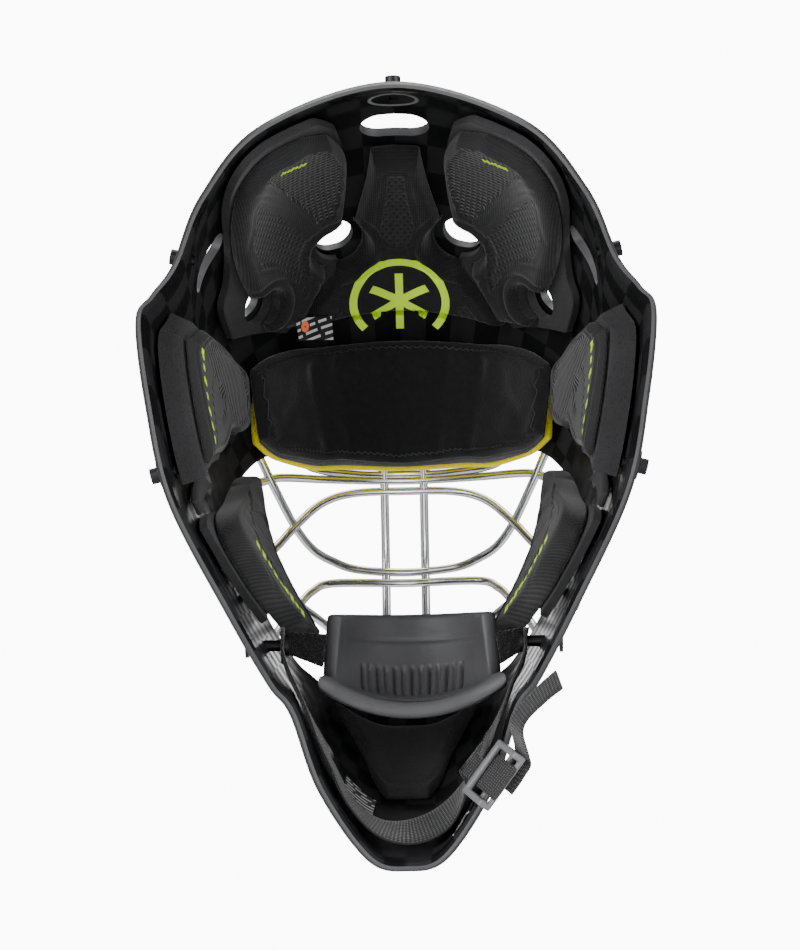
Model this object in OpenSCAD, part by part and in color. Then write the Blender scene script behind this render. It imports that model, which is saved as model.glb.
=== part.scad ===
// Ice-hockey goalie mask: carbon shell, wire cage, padding, chin cup and chin sling.
// Frame: +Z up, +Y the way the wearer looks, +X the wearer's right.
// The origin is the centre of the wearer's head, midway between the ears at eye height.

/* [Shell] */
// Thickness of the carbon wall
shell_wall = 4; // [3:0.5:4.5]
// Mesh steps around the shell between two stations
steps_around = 3; // [2:1:4]
// Mesh steps from the rear rim to the face opening
steps_across = 12; // [8:1:14]

/* [Cage] */
// Diameter of the cage wire
wire_d = 4; // [3:0.5:5]
// Distance of the two upright wires from the middle
upright_x = 9; // [7:0.5:12]

/* [Padding] */
// Thickness of the backing foams
foam_t = 3.6; // [3:0.1:3.8]
// Thickness of the moulded crown, forehead and jaw pads
pad_t = 8; // [6:0.5:9]
// Thickness of the sweatband
band_t = 6.5; // [4:0.5:8]

/* [Chin] */
// Thickness of the moulded chin cup
cup_t = 7; // [5:0.5:8]
// Width of the sling webbing
webbing_w = 16; // [12:1:18]
// Thickness of the sling webbing
webbing_t = 1.4; // [1.2:0.1:1.6]

/* [Fasteners] */
// Diameter of the harness snap studs
stud_d = 6.6; // [5:0.2:8]
// Height of a snap stud above its flange
stud_h = 3.5; // [3:0.5:5]
// Diameter of the cage screws
screw_d = 4; // [3:0.5:5]

/* [Hidden] */

// The shell is a net of four loops. Each loop has 14 stations on the wearer's right half,
// from the top middle to the chin middle, and the left half mirrors them. A station's four
// points steer one curve that runs from the rear rim to the edge of the face opening.
RIM = [[0, -60, 133], [54, -60, 115], [80, -57, 85], [92, -52, 57], [101, -52, 44],
       [107, -54, 32], [102.5, -55, -6], [94, -46, -44], [72.5, -12, -82], [57, 17, -105],
       [48, 25, -116], [37, 36, -146], [17, 45, -174], [0, 46, -179]];
REAR = [[0, 0, 162], [62, 2, 140], [88, 4, 98], [92, 5, 61], [96, 6, 46],
        [101, 5, 29], [98, 5, -6], [89, 5, -36], [74, 25, -66], [57, 45, -92],
        [49, 50, -106], [39, 62, -134], [20, 72, -160], [0, 75, -163]];
FRONT = [[0, 118, 112], [50, 112, 100], [84, 84, 64], [91, 68, 36], [91, 62, 24],
         [91, 60, 12], [88, 58, -12], [81, 62, -36], [70, 68, -58], [56, 85, -80],
         [48, 98, -90], [39, 112, -108], [22, 122, -120], [0, 126, -122]];
OPENING = [[0, 120, 31], [36, 115, 30], [62, 102, 23], [74, 92, 10], [76.5, 89, 3],
           [77, 87, -5], [76, 85, -19], [72, 86, -37], [62, 94, -59], [51, 103, -74],
           [44, 108, -79], [30, 117, -85], [12, 123, -88], [0, 124, -88]];
LAST = len(RIM) - 1;
EPS = 0.001;

// Depths below the outer skin at which the layers of padding start
foam_in = 5.8;
pad_in = foam_in + foam_t + 0.7;
pad_out = pad_in + pad_t;
band_in = pad_in + 4.4;
temple_in = 17.4;

// Places of the fasteners on the shell, as station and step across
CLIPS = [[0.7, 0.93], [7.6, 0.93]];
STUDS = [[0, 0.12], [2.6, 0.14], [6.6, 0.12]];
screw_back = 9.4;
wire_gap = 1.4;
clip_w = 7;

// Axis through the two rivets that the chin sling swings about
SLING_AXIS = [46, -80];
rivet_x = 49;
rivet_r = 2.4;
rivet_out = 66;

// Strap buckle: centre, way along its long side, and way the webbing runs through it
BUCKLE_AT = [36.5, 21, -144];
BUCKLE_LONG = [0.6, -0.247, 0.76];
BUCKLE_RUN = [0.472, -0.658, -0.586];
buckle_l = 24;
buckle_w = 15;
bar_t = 2.4;

function unit(v) = v / norm(v);
function mix(a, b, f) = a + (b - a) * f;
function mirror_x(p) = [-p[0], p[1], p[2]];
function station(loop, i) =
    i < 0 ? mirror_x(loop[-i]) : i > LAST ? mirror_x(loop[2 * LAST - i]) : loop[i];

// Point on the smooth curve through p1 and p2, a fraction f of the way from p1
function spline(p0, p1, p2, p3, f) =
    0.5 * (2 * p1 + (p2 - p0) * f + (2 * p0 - 5 * p1 + 4 * p2 - p3) * f * f
           + (3 * p1 - p0 - 3 * p2 + p3) * f * f * f);
function on_half(loop, u) =
    let (i = floor(u))
    spline(station(loop, i - 1), station(loop, i), station(loop, i + 1), station(loop, i + 2), u - i);
function on_loop(loop, u) =
    u < 0 ? mirror_x(on_half(loop, -u))
    : u > LAST ? mirror_x(on_half(loop, 2 * LAST - u)) : on_half(loop, u);

// Outer skin at station u, a fraction t of the way from the rear rim to the face opening
function skin(u, t) =
    let (q = 1 - t)
    q * q * q * on_loop(RIM, u) + 3 * q * q * t * on_loop(REAR, u)
    + 3 * q * t * t * on_loop(FRONT, u) + t * t * t * on_loop(OPENING, u);
function around_way(u, t) = skin(u + EPS, t) - skin(u - EPS, t);
function across_way(u, t) = skin(u, t + EPS) - skin(u, t - EPS);
function outward(u, t) = unit(cross(around_way(u, t), across_way(u, t)));
function lay(u, t, depth) = skin(u, t) - depth * outward(u, t);

// Triangles of a grid of n by m cells whose points start at index first
function grid_faces(first, n, m, flip) =
    [for (i = [0 : n - 1], j = [0 : m - 1], k = [0, 1])
        let (a = first + i * (m + 1) + j, b = a + m + 1)
        k == 0 ? (flip ? [a, a + 1, b] : [a, b, a + 1])
               : (flip ? [b, a + 1, b + 1] : [b, b + 1, a + 1])];

// Triangles that join the edges of two grids of the same size
function edge_faces(n, m) =
    let (size = (n + 1) * (m + 1),
         ring = concat([for (i = [0 : n]) i * (m + 1)],
                       [for (j = [1 : m]) n * (m + 1) + j],
                       [for (i = [n - 1 : -1 : 0]) i * (m + 1) + m],
                       [for (j = [m - 1 : -1 : 1]) j]))
    [for (k = [0 : len(ring) - 1], h = [0, 1])
        let (a = ring[k], b = ring[(k + 1) % len(ring)])
        h == 0 ? [b, a, a + size] : [b, a + size, b + size]];

// A rib joins two places on the skin, and a pad runs from rib to rib
function rib_at(ribs, s) =
    let (x = s * (len(ribs) - 1), k = min(floor(x), len(ribs) - 2))
    [mix(ribs[k][0], ribs[k + 1][0], x - k), mix(ribs[k][1], ribs[k + 1][1], x - k)];
function pad_point(ribs, s, r, depth) =
    let (rib = rib_at(ribs, s), p = mix(rib[0], rib[1], r))
    lay(p[0], p[1], depth);

// Closed sheet between two grids of points, with its faces turned the way the thickness runs
module slab(low, high, n, m) {
    a = low[0][0];
    inside_out = cross(low[1][0] - a, low[0][1] - a) * (high[0][0] - a) < 0;
    faces = concat(grid_faces(0, n, m, false),
                   grid_faces((n + 1) * (m + 1), n, m, true), edge_faces(n, m));
    polyhedron(concat([for (row = low) each row], [for (row = high) each row]),
               inside_out ? [for (f = faces) [f[2], f[1], f[0]]] : faces);
}

// Pad that lies between two depths below the skin, thinner round its edge
module pad(ribs, low, high, n = 8, m = 5, edge = 0.55) {
    slab([for (i = [0 : n]) [for (j = [0 : m]) pad_point(ribs, i / n, j / m, low)]],
         [for (i = [0 : n]) [for (j = [0 : m])
             pad_point(ribs, i / n, j / m,
                       i == 0 || i == n || j == 0 || j == m ? mix(low, high, edge) : high)]],
         n, m);
}

// Ribs of both halves from the ribs of the wearer's right half
function both_halves(ribs) =
    concat([for (i = [len(ribs) - 1 : -1 : 1]) [for (p = ribs[i]) [-p[0], p[1]]]], ribs);

// Local frame on the skin: Z outward, Y towards the face opening
module on_skin(u, t, depth = 0) {
    z = outward(u, t);
    x = unit(cross(across_way(u, t), z));
    y = cross(z, x);
    p = lay(u, t, depth);
    multmatrix([[x[0], y[0], z[0], p[0]], [x[1], y[1], z[1], p[1]],
                [x[2], y[2], z[2], p[2]], [0, 0, 0, 1]]) children();
}

module both_sides() {
    children();
    mirror([1, 0, 0]) children();
}

// Slot through the wall: length along the loop, width across it
module vent(u, t, length, width) {
    reach = (length - width) / 2;
    on_skin(u, t)
        hull()
            for (s = [-1, 1])
                translate([s * reach, 0, -14]) cylinder(d = width, h = 24, $fn = 20);
}

module shell_wall_net() {
    count = 2 * LAST * steps_around;
    ring = steps_across + 1;
    points = [for (d = [0, shell_wall], i = [0 : count - 1], j = [0 : steps_across])
                 let (u = i / steps_around) lay(u > LAST ? u - 2 * LAST : u, j / steps_across, d)];
    layer = count * ring;
    faces = [for (i = [0 : count - 1], j = [0 : steps_across - 1], k = [0, 1], d = [0, 1])
                let (a = i * ring + j + d * layer, b = ((i + 1) % count) * ring + j + d * layer)
                k == 0 ? (d == 0 ? [a, a + 1, b] : [a, b, a + 1])
                       : (d == 0 ? [b, a + 1, b + 1] : [b, b + 1, a + 1])];
    edges = [for (i = [0 : count - 1], j = [0, steps_across], k = [0, 1])
                let (a = i * ring + j, b = ((i + 1) % count) * ring + j, c = a + layer, d = b + layer)
                k == 0 ? (j == 0 ? [a, b, c] : [a, c, b]) : (j == 0 ? [b, d, c] : [b, c, d])];
    polyhedron(points, concat(faces, edges));
}

module shell() {
    color([0.06, 0.06, 0.065]) difference() {
        shell_wall_net();
        vent(0, 0.25, 30, 19);
        both_sides() {
            vent(0.54, 0.53, 18, 16);
            vent(1.56, 0.58, 15, 13);
            vent(2.1, 0.32, 30, 11);
            vent(5.68, 0.68, 13, 10);
            vent(10.84, 0.52, 16, 11);
            for (c = CLIPS)
                on_skin(c[0], c[1]) translate([0, -screw_back, -10])
                    cylinder(d = screw_d + 0.8, h = 20, $fn = 16);
            for (s = STUDS)
                on_skin(s[0], s[1]) translate([0, 0, -10]) cylinder(d = screw_d + 0.8, h = 20, $fn = 16);
            translate([0, SLING_AXIS[0], SLING_AXIS[1]]) rotate([0, 90, 0])
                translate([0, 0, rivet_x]) cylinder(r = rivet_r + 0.4, h = 30, $fn = 16);
        }
    }
}

// Smooth curve through points, with each stretch cut into n steps
function smooth(points, n) =
    let (last = len(points) - 1)
    concat([for (i = [0 : last - 1], k = [0 : n - 1])
               spline(points[max(i - 1, 0)], points[i], points[i + 1],
                      points[min(i + 2, last)], k / n)], [points[last]]);

// Round wire swept along a path, with one ring at each point
module wire(path, r, sides = 8, side_way = [0, 0, 1]) {
    last = len(path) - 1;
    rings = [for (i = [0 : last])
                let (way = unit(path[min(i + 1, last)] - path[max(i - 1, 0)]),
                     x = unit(cross(side_way, way)), y = cross(way, x))
                for (k = [0 : sides - 1])
                    path[i] + r * (cos(360 * k / sides) * x + sin(360 * k / sides) * y)];
    walls = [for (i = [0 : last - 1], k = [0 : sides - 1], h = [0, 1])
                let (a = i * sides + k, b = i * sides + (k + 1) % sides)
                h == 0 ? [a, a + sides, b] : [b, a + sides, b + sides]];
    ends = [[for (k = [0 : sides - 1]) k], [for (k = [sides - 1 : -1 : 0]) last * sides + k]];
    polyhedron(rings, concat(walls, ends));
}

// Small weld bead where two wires meet
module bead(p, q) {
    hull() {
        translate(p) sphere(d = wire_d * 1.12, $fn = 8);
        translate(q) sphere(d = wire_d * 1.12, $fn = 8);
    }
}

function mirrored_path(half) =
    concat([for (i = [len(half) - 1 : -1 : 1]) mirror_x(half[i])], half);

// Point of the perimeter wire, which rests just outside the edge of the shell
function perimeter(u) = lay(u, 0.93, -(wire_d / 2 + wire_gap));

// Bars from the middle to the wearer's right; the last point lies in the perimeter wire
BROW_BAR = [[0, 134, 24.5], [20, 130, 23.5], [39, 120.5, 23], [46, 116.5, 27], perimeter(1.45)];
EYE_BAR = [[0, 135, 21.5], [32, 127, 20], [56, 112, 16.5], [66, 104, 12], perimeter(3.6)];
ARCH_BAR = [[0, 137, 17], [23, 134, 15.5], [37, 130, 10], [48, 125, -1], [59, 117, -16],
            [68, 106, -26], perimeter(6.8)];
EYE_LOOP = [[0, 150, -18], [22, 145.5, -17.5], [33, 140, -15], [42, 133, -11], [50, 124.5, -2],
            [59, 110, 13], [66, 101, 25], perimeter(2.35)];
MOUTH_BAR = [[0, 150, -23], [33, 141.5, -25], [42, 136, -30], [48, 130, -38], [57, 116, -54],
             perimeter(8.5)];
LOWER_BAR = [[0, 141, -64], [20, 140.5, -59], [36, 138, -46], [48, 129.5, -38.5]];

module cage() {
    bars = [BROW_BAR, EYE_BAR, ARCH_BAR, EYE_LOOP, MOUTH_BAR, LOWER_BAR];
    color([0.78, 0.79, 0.81]) union() {
        ring = [for (u = [0 : 0.5 : 2 * LAST]) perimeter(u > LAST ? u - 2 * LAST : u)];
        half = floor(len(ring) / 2);
        wire([for (i = [0 : half]) ring[i]], wire_d / 2, 8, [0, 1, 0.01]);
        wire([for (i = [half : len(ring) - 1]) ring[i]], wire_d / 2, 8, [0, 1, 0.01]);
        for (bar = bars)
            wire(smooth(mirrored_path(bar), 2), wire_d / 2);
        both_sides() {
            wire(smooth([[upright_x, 125, 34], [upright_x, 134, 22], [upright_x, 145.5, -3],
                         [upright_x, 150, -22], [upright_x, 148.5, -42], [upright_x, 141.5, -64],
                         [upright_x, 131, -84], [upright_x, 125.5, -92]], 2), wire_d / 2, 8, [1, 0, 0]);
            for (bar = bars)
                bead(bar[len(bar) - 1], mix(bar[len(bar) - 1], bar[len(bar) - 2], 0.15));
        }
    }
}

// Clip that bridges the perimeter wire, with its foot screwed to the shell
module clip_at(u, t) {
    hump = wire_d / 2 + 2.6;
    top = wire_gap + wire_d + 1.6;
    on_skin(u, t) difference() {
        translate([-clip_w / 2, 0, 0]) rotate([90, 0, 90]) linear_extrude(clip_w)
            polygon([[-screw_back - 5, 0.9], [-hump - 0.6, 0.9], [-hump + 0.7, 2.2], [-hump + 0.7, top],
                     [hump - 0.7, top], [hump - 0.7, 1.6], [hump + 0.7, 1.6], [hump + 0.7, top + 1.4],
                     [-hump - 0.7, top + 1.4], [-hump - 0.7, 2.4], [-screw_back - 5, 2.4]]);
        translate([0, -screw_back, -1]) cylinder(d = screw_d + 0.5, h = 6, $fn = 24);
    }
}

module cage_clips() {
    color([0.5, 0.5, 0.52]) both_sides() for (c = CLIPS) clip_at(c[0], c[1]);
}

// Pan-head screw through clip and shell, with its axis along the skin's normal
module cage_screws() {
    color([0.72, 0.72, 0.74]) both_sides() for (c = CLIPS)
        on_skin(c[0], c[1]) translate([0, -screw_back, 0]) difference() {
            union() {
                translate([0, 0, 2.6]) cylinder(d = 7.5, h = 2, $fn = 32);
                translate([0, 0, -7.4]) cylinder(d = screw_d, h = 10.1, $fn = 32);
            }
            translate([-0.5, -2.6, 3.6]) cube([1, 5.2, 2]);
        }
}

module cage_tnuts() {
    color([0.6, 0.6, 0.62]) both_sides() for (c = CLIPS)
        on_skin(c[0], c[1], 7) translate([0, -screw_back, 0]) difference() {
            cylinder(d = 10, h = 1, $fn = 32);
            translate([0, 0, -1]) cylinder(d = screw_d + 0.3, h = 3, $fn = 32);
        }
}

// Snap stud that a strap of the back plate clips onto
module stud_at(u, t) {
    on_skin(u, t) {
        translate([0, 0, 0.5]) cylinder(d = 12, h = 1.2, $fn = 40);
        translate([0, 0, 1.6]) cylinder(d = stud_d, h = stud_h + 0.1, $fn = 40);
        translate([0, 0, -5.2]) cylinder(d = screw_d, h = 6, $fn = 32);
    }
}

module harness_studs() {
    color([0.7, 0.7, 0.72]) {
        stud_at(STUDS[0][0], STUDS[0][1]);
        both_sides() for (i = [1, 2]) stud_at(STUDS[i][0], STUDS[i][1]);
    }
}

// Round clearance through the padding over a vent
module breather(u, t, d) {
    on_skin(u, t) translate([0, 0, -40]) cylinder(d = d, h = 44, $fn = 12);
}

// Pocket in the padding for the nut and screw end of a cage clip
module nut_well(c) {
    on_skin(c[0], c[1]) translate([0, -screw_back, -10.5]) cylinder(d = 12, h = 10, $fn = 20);
}

CROWN_FOAM = [[[0.46, 0.18], [0.62, 0.08]], [[0.42, 0.26], [1.14, 0.06]], [[0.42, 0.35], [1.54, 0.08]],
              [[0.44, 0.43], [1.74, 0.18]], [[0.50, 0.52], [1.78, 0.34]], [[0.62, 0.61], [1.90, 0.44]],
              [[0.92, 0.67], [2.12, 0.49]], [[1.25, 0.70], [2.05, 0.60]]];
module crown_foam_left() { color([0.10, 0.10, 0.10]) mirror([1, 0, 0]) crown_foam(); }
module crown_foam_right() { color([0.10, 0.10, 0.10]) crown_foam(); }
module crown_foam() {
    difference() {
        pad(CROWN_FOAM, foam_in, foam_in + foam_t, 14, 8, 0.9);
        breather(0.54, 0.53, 19);
        breather(1.56, 0.58, 17);
    }
}

CROWN_PAD = [[[0.54, 0.16], [0.74, 0.11]], [[0.42, 0.26], [1.20, 0.10]], [[0.42, 0.35], [1.62, 0.13]],
             [[0.46, 0.43], [1.80, 0.24]], [[0.54, 0.51], [1.82, 0.36]], [[0.70, 0.59], [1.76, 0.46]],
             [[0.92, 0.64], [1.64, 0.56]], [[1.16, 0.68], [1.55, 0.655]]];
module crown_pad_left() { color([0.08, 0.08, 0.085]) mirror([1, 0, 0]) crown_pad(); }
module crown_pad_right() { color([0.08, 0.08, 0.085]) crown_pad(); }
module crown_pad() {
    difference() {
        pad(CROWN_PAD, pad_in, pad_out, 14, 8);
        breather(0.54, 0.53, 26);
        breather(1.56, 0.58, 22);
    }
}

// Forehead pad: a narrow neck on the crown that widens above the sweatband
FOREHEAD = [[[0, 0.30], [0.19, 0.30]], [[0, 0.39], [0.24, 0.39]], [[0, 0.48], [0.33, 0.48]],
            [[0, 0.56], [0.41, 0.56]], [[0, 0.64], [0.62, 0.63]], [[0, 0.69], [0.86, 0.67]],
            [[0, 0.74], [1.12, 0.715]]];
module forehead_pad() {
    ribs = [for (r = FOREHEAD) [[-r[1][0], r[1][1]], r[1]]];
    color([0.08, 0.08, 0.085]) difference() {
        pad(ribs, foam_in + 0.3, pad_out - 0.5, 14, 8);
        both_sides() breather(0.54, 0.53, 26);
    }
}

BAND = [[[0, 0.765], [0, 1.055]], [[0.8, 0.755], [0.85, 1.055]], [[1.3, 0.73], [1.45, 1.06]],
        [[1.75, 0.70], [2.1, 1.01]], [[2.1, 0.69], [2.6, 0.89]]];
FOAM_BAND = [[[0, 0.785], [0, 1.055]], [[0.8, 0.78], [0.86, 1.06]], [[1.25, 0.76], [1.48, 1.065]],
             [[1.6, 0.75], [2.04, 1.02]], [[1.8, 0.77], [2.36, 0.93]]];
module yellow_foam() {
    color([0.9, 0.78, 0.05]) difference() {
        pad(both_halves(FOAM_BAND), foam_in, foam_in + foam_t, 18, 5, 0.9);
        both_sides() nut_well(CLIPS[0]);
    }
}
module grey_foam() {
    color([0.22, 0.22, 0.23]) pad(both_halves(FOAM_BAND), pad_in, pad_in + 3.7, 18, 5, 0.9);
}
module sweatband() {
    color([0.07, 0.07, 0.07]) pad(both_halves(BAND), band_in, band_in + band_t, 20, 6, 0.4);
}

TEMPLE = [[[3.9, 0.11], [2.62, 0.60]], [[4.5, 0.12], [2.95, 0.71]], [[5.2, 0.12], [3.6, 0.74]],
          [[6.0, 0.13], [4.6, 0.66]], [[6.75, 0.15], [5.9, 0.48]]];
TEMPLE_FACE = [[[3.7, 0.17], [2.75, 0.58]], [[4.45, 0.12], [3.05, 0.70]], [[5.2, 0.12], [3.65, 0.73]],
               [[6.0, 0.13], [4.65, 0.64]], [[6.6, 0.15], [5.85, 0.46]]];
module temple_foam_left() { color([0.16, 0.16, 0.165]) mirror([1, 0, 0]) temple_foam(); }
module temple_foam_right() { color([0.16, 0.16, 0.165]) temple_foam(); }
module temple_foam() {
    difference() {
        pad(TEMPLE, foam_in, temple_in - 0.7, 9, 8, 0.95);
        breather(5.68, 0.68, 15);
    }
}
module temple_pad_left() { color([0.09, 0.09, 0.095]) mirror([1, 0, 0]) temple_pad(); }
module temple_pad_right() { color([0.09, 0.09, 0.095]) temple_pad(); }
module temple_pad() {
    pad(TEMPLE_FACE, temple_in, temple_in + 4.8, 9, 7, 0.4);
}

// Thin foam round the ear, between the temple pad and the jaw pad
EAR = [[[6.9, 0.20], [6.08, 0.47]], [[7.0, 0.22], [6.0, 0.60]], [[7.05, 0.23], [5.75, 0.70]]];
module ear_foam_left() { color([0.12, 0.12, 0.125]) mirror([1, 0, 0]) ear_foam(); }
module ear_foam_right() { color([0.12, 0.12, 0.125]) ear_foam(); }
module ear_foam() {
    difference() {
        pad(EAR, foam_in, foam_in + foam_t - 0.4, 5, 5, 0.7);
        breather(5.68, 0.68, 13);
    }
}

JAW_FOAM = [[[7.25, 0.14], [6.2, 0.80]], [[7.6, 0.22], [6.8, 0.86]], [[8.0, 0.36], [7.4, 0.90]],
            [[8.3, 0.50], [7.9, 0.93]]];
JAW_PAD = [[[5.5, 0.80], [4.6, 0.90]], [[6.4, 0.60], [5.3, 0.96]], [[7.3, 0.24], [6.2, 1.0]],
           [[7.7, 0.28], [7.0, 1.03]], [[8.0, 0.40], [7.7, 1.05]], [[8.25, 0.56], [8.3, 1.05]],
           [[8.5, 0.72], [8.8, 1.04]]];
module jaw_foam_left() { color([0.12, 0.12, 0.125]) mirror([1, 0, 0]) jaw_foam(); }
module jaw_foam_right() { color([0.12, 0.12, 0.125]) jaw_foam(); }
module jaw_foam() {
    difference() {
        pad(JAW_FOAM, foam_in, foam_in + foam_t, 8, 5, 0.8);
        nut_well(CLIPS[1]);
    }
}
module jaw_pad_left() { color([0.09, 0.09, 0.095]) mirror([1, 0, 0]) jaw_pad(); }
module jaw_pad_right() { color([0.09, 0.09, 0.095]) jaw_pad(); }
module jaw_pad() {
    pad(JAW_PAD, pad_in, pad_out + 2, 12, 6, 0.45);
}

// Foam tongue that lines the shell below the chin cup
CHIN = [[[10.7, 0.88], [-10.7, 0.88]], [[11.3, 0.78], [-11.3, 0.78]], [[11.8, 0.68], [-11.8, 0.68]],
        [[12.1, 0.58], [-12.1, 0.58]], [[12.5, 0.49], [-12.5, 0.49]]];
module chin_foam() {
    ribs = [for (r = CHIN) [r[0], [2 * LAST - r[0][0], r[0][1]]]];
    color([0.07, 0.07, 0.07]) pad(ribs, 4.8, 10, 8, 8, 0.5);
}

// Hook-and-loop dots that hold the padding to the shell
DOTS = [[0.95, 0.22], [1.15, 0.42], [0.95, 0.60], [3.6, 0.45], [4.9, 0.3], [6.0, 0.3], [7.0, 0.66]];
module hook_dots() {
    color([0.03, 0.03, 0.03]) both_sides() for (d = DOTS)
        on_skin(d[0], d[1], 5.6) cylinder(d = 11, h = 0.6, $fn = 32);
}

// Chin cup: a curved sheet from its top edge to the edge of its shelf under the chin
cup_x = 3;
function cup_curve(a, s) =
    let (top = [31 * sin(78 * a) / sin(78), 54 + 30 * cos(78 * a), -56 - 7 * a * a],
         mid = [35 * sin(78 * a) / sin(78), 57 + 28 * cos(78 * a), -98 + 4 * a * a],
         low = [38 * a, 61 - 3 * a * a, -102 + 13 * a * a], q = 1 - s)
    q * q * top + 2 * q * s * mid + s * s * low;
function cup_normal(a, s) =
    unit(cross(cup_curve(a + EPS, s) - cup_curve(a - EPS, s),
               cup_curve(a, s + EPS) - cup_curve(a, s - EPS)));
function cup_point(a, s, depth) =
    [cup_x, 0, 0] + cup_curve(a, s) + depth * cup_normal(a, s);
module chin_cup() {
    n = 16;
    m = 8;
    color([0.27, 0.27, 0.28])
        slab([for (i = [0 : n]) [for (j = [0 : m]) cup_point(2 * i / n - 1, j / m, 0)]],
             [for (i = [0 : n]) [for (j = [0 : m]) cup_point(2 * i / n - 1, j / m, cup_t)]], n, m);
}

// Hook-and-loop tab between the end of the chin cup and the shell
module chin_tab(side) {
    inner = [[side * 36 + cup_x, 58, -72], [side * 38 + cup_x, 58, -87]];
    outer = [[side * 54, 60, -69], [side * 52, 60, -79]];
    rows = side > 0 ? [outer, inner] : [inner, outer];
    slab([for (i = [0, 1]) [for (row = rows) row[i]]],
         [for (i = [0, 1]) [for (row = rows) row[i] + [0, 3, 0]]], 1, 1);
}
module chin_tab_left() { color([0.04, 0.04, 0.04]) chin_tab(-1); }
module chin_tab_right() { color([0.04, 0.04, 0.04]) chin_tab(1); }

// Rivet on the swing axis of the sling: head inside, spacer on the wall, head outside
module sling_rivets() {
    color([0.35, 0.35, 0.36]) both_sides()
        translate([0, SLING_AXIS[0], SLING_AXIS[1]]) rotate([0, 90, 0]) {
            translate([0, 0, rivet_x]) cylinder(r = 4.6, h = 1.6, $fn = 32);
            translate([0, 0, rivet_x + 1.5]) cylinder(r = rivet_r, h = rivet_out - rivet_x, $fn = 32);
            translate([0, 0, rivet_out]) cylinder(r = 5, h = 1.6, $fn = 32);
        }
}

// Flat band through stations of [centre, way of its width]
module ribbon(stations, width, thick) {
    last = len(stations) - 1;
    points = [for (i = [0 : last])
                 let (p = stations[i][0], way = unit(stations[min(i + 1, last)][0]
                                                     - stations[max(i - 1, 0)][0]),
                      w = unit(stations[i][1] - (stations[i][1] * way) * way), n = cross(way, w))
                 for (c = [[1, 1], [-1, 1], [-1, -1], [1, -1]])
                     p + c[0] * w * width / 2 + c[1] * n * thick / 2];
    walls = [for (i = [0 : last - 1], k = [0 : 3], h = [0, 1])
                let (a = 4 * i + k, b = 4 * i + (k + 1) % 4)
                h == 0 ? [a, a + 4, b] : [b, a + 4, b + 4]];
    polyhedron(points, concat([[0, 1, 2, 3]], walls,
                              [[4 * last + 3, 4 * last + 2, 4 * last + 1, 4 * last]]));
}
function smooth_stations(stations, n) =
    let (p = smooth([for (s = stations) s[0]], n), w = smooth([for (s = stations) s[1]], n))
    [for (i = [0 : len(p) - 1]) [p[i], w[i]]];

// Sewn end of a strap, round the shank of its rivet
module strap_end(side, width) {
    translate([side * (rivet_x + 2.6), SLING_AXIS[0], SLING_AXIS[1]]) rotate([0, 90, 0])
        difference() {
            translate([0, 0, -webbing_t / 2]) cylinder(d = width, h = webbing_t, $fn = 48);
            translate([0, 0, -2]) cylinder(r = rivet_r + 0.35, h = 4, $fn = 32);
        }
}

function on_buckle(long, run, out) =
    BUCKLE_AT + long * unit(BUCKLE_LONG) + run * unit(BUCKLE_RUN)
    + out * unit(cross(BUCKLE_LONG, BUCKLE_RUN));

// Long strap: from the left rivet round the chin, straight through the buckle, then its tail
STRAP = [[[-rivet_x - 2.6, 46, -84], [0, 1, 0]], [[-49, 43, -93], [0, 1, 0]], [[-43, 43.5, -106], [0, 1, 0.1]],
         [[-37, 50, -119], [0.1, 1, 0.2]], [[-31, 53, -132], [0.1, 1, 0.25]],
         [[-24, 55, -146], [0.15, 1, 0.35]], [[-13, 57, -156.5], [0.1, 0.85, 0.6]],
         [[0, 57, -159.5], [0, 0.62, 0.78]], [[13, 56, -155.5], [-0.05, 0.55, 0.85]],
         [[22, 51.5, -147], [0.1, 0.5, 0.87]], [[27.5, 42, -137.5], [0.4, 0.2, 0.9]], [on_buckle(0, -19, 0), BUCKLE_LONG],
         [on_buckle(0, -9, 0), BUCKLE_LONG], [on_buckle(0, 0, 0), BUCKLE_LONG],
         [on_buckle(0, 9.5, 0), BUCKLE_LONG]];
TAIL = [[on_buckle(-2, 4.5, 5.2), BUCKLE_RUN], [on_buckle(6, 4, 5.4), BUCKLE_RUN],
        [on_buckle(13.5, 1, 5.4), BUCKLE_RUN], [[46.5, 9, -125], [0.4, -0.73, -0.55]],
        [[55.5, 4, -115.5], [0.4, -0.73, -0.55]], [[64, -1, -109.5], [0.5, -0.7, -0.5]]];

module sling_strap() {
    straight = [for (i = [11 : 14]) STRAP[i]];
    curved = smooth_stations([for (i = [0 : 11]) STRAP[i]], 2);
    color([0.10, 0.10, 0.10]) union() {
        ribbon(concat(curved, [for (i = [1 : 3]) straight[i]]), webbing_w, webbing_t);
        strap_end(-1, webbing_w);
    }
}
module sling_tail() {
    color([0.10, 0.10, 0.10]) ribbon(smooth_stations(TAIL, 2), 12, webbing_t);
}

ELASTIC = [[[rivet_x + 2.6, 46, -83.5], [0, 1, 0]], [[50, 43, -90], [0.1, 1, 0]], [[45.6, 39, -100], [0.1, 1, 0.2]],
           [[41.4, 33.5, -112], [0.1, 1, 0.2]], [[36.2, 26.4, -124], [0.2, 1, 0.3]],
           [on_buckle(9.5, -11.5, -4.4), [0.4, 0.6, 0.7]], [on_buckle(3, -8.4, -4.6), [0.4, 0.6, 0.7]]];
module sling_elastic() {
    color([0.05, 0.05, 0.05]) union() {
        ribbon(smooth_stations(ELASTIC, 2), 8, webbing_t - 0.2);
        strap_end(1, 12);
    }
}

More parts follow.
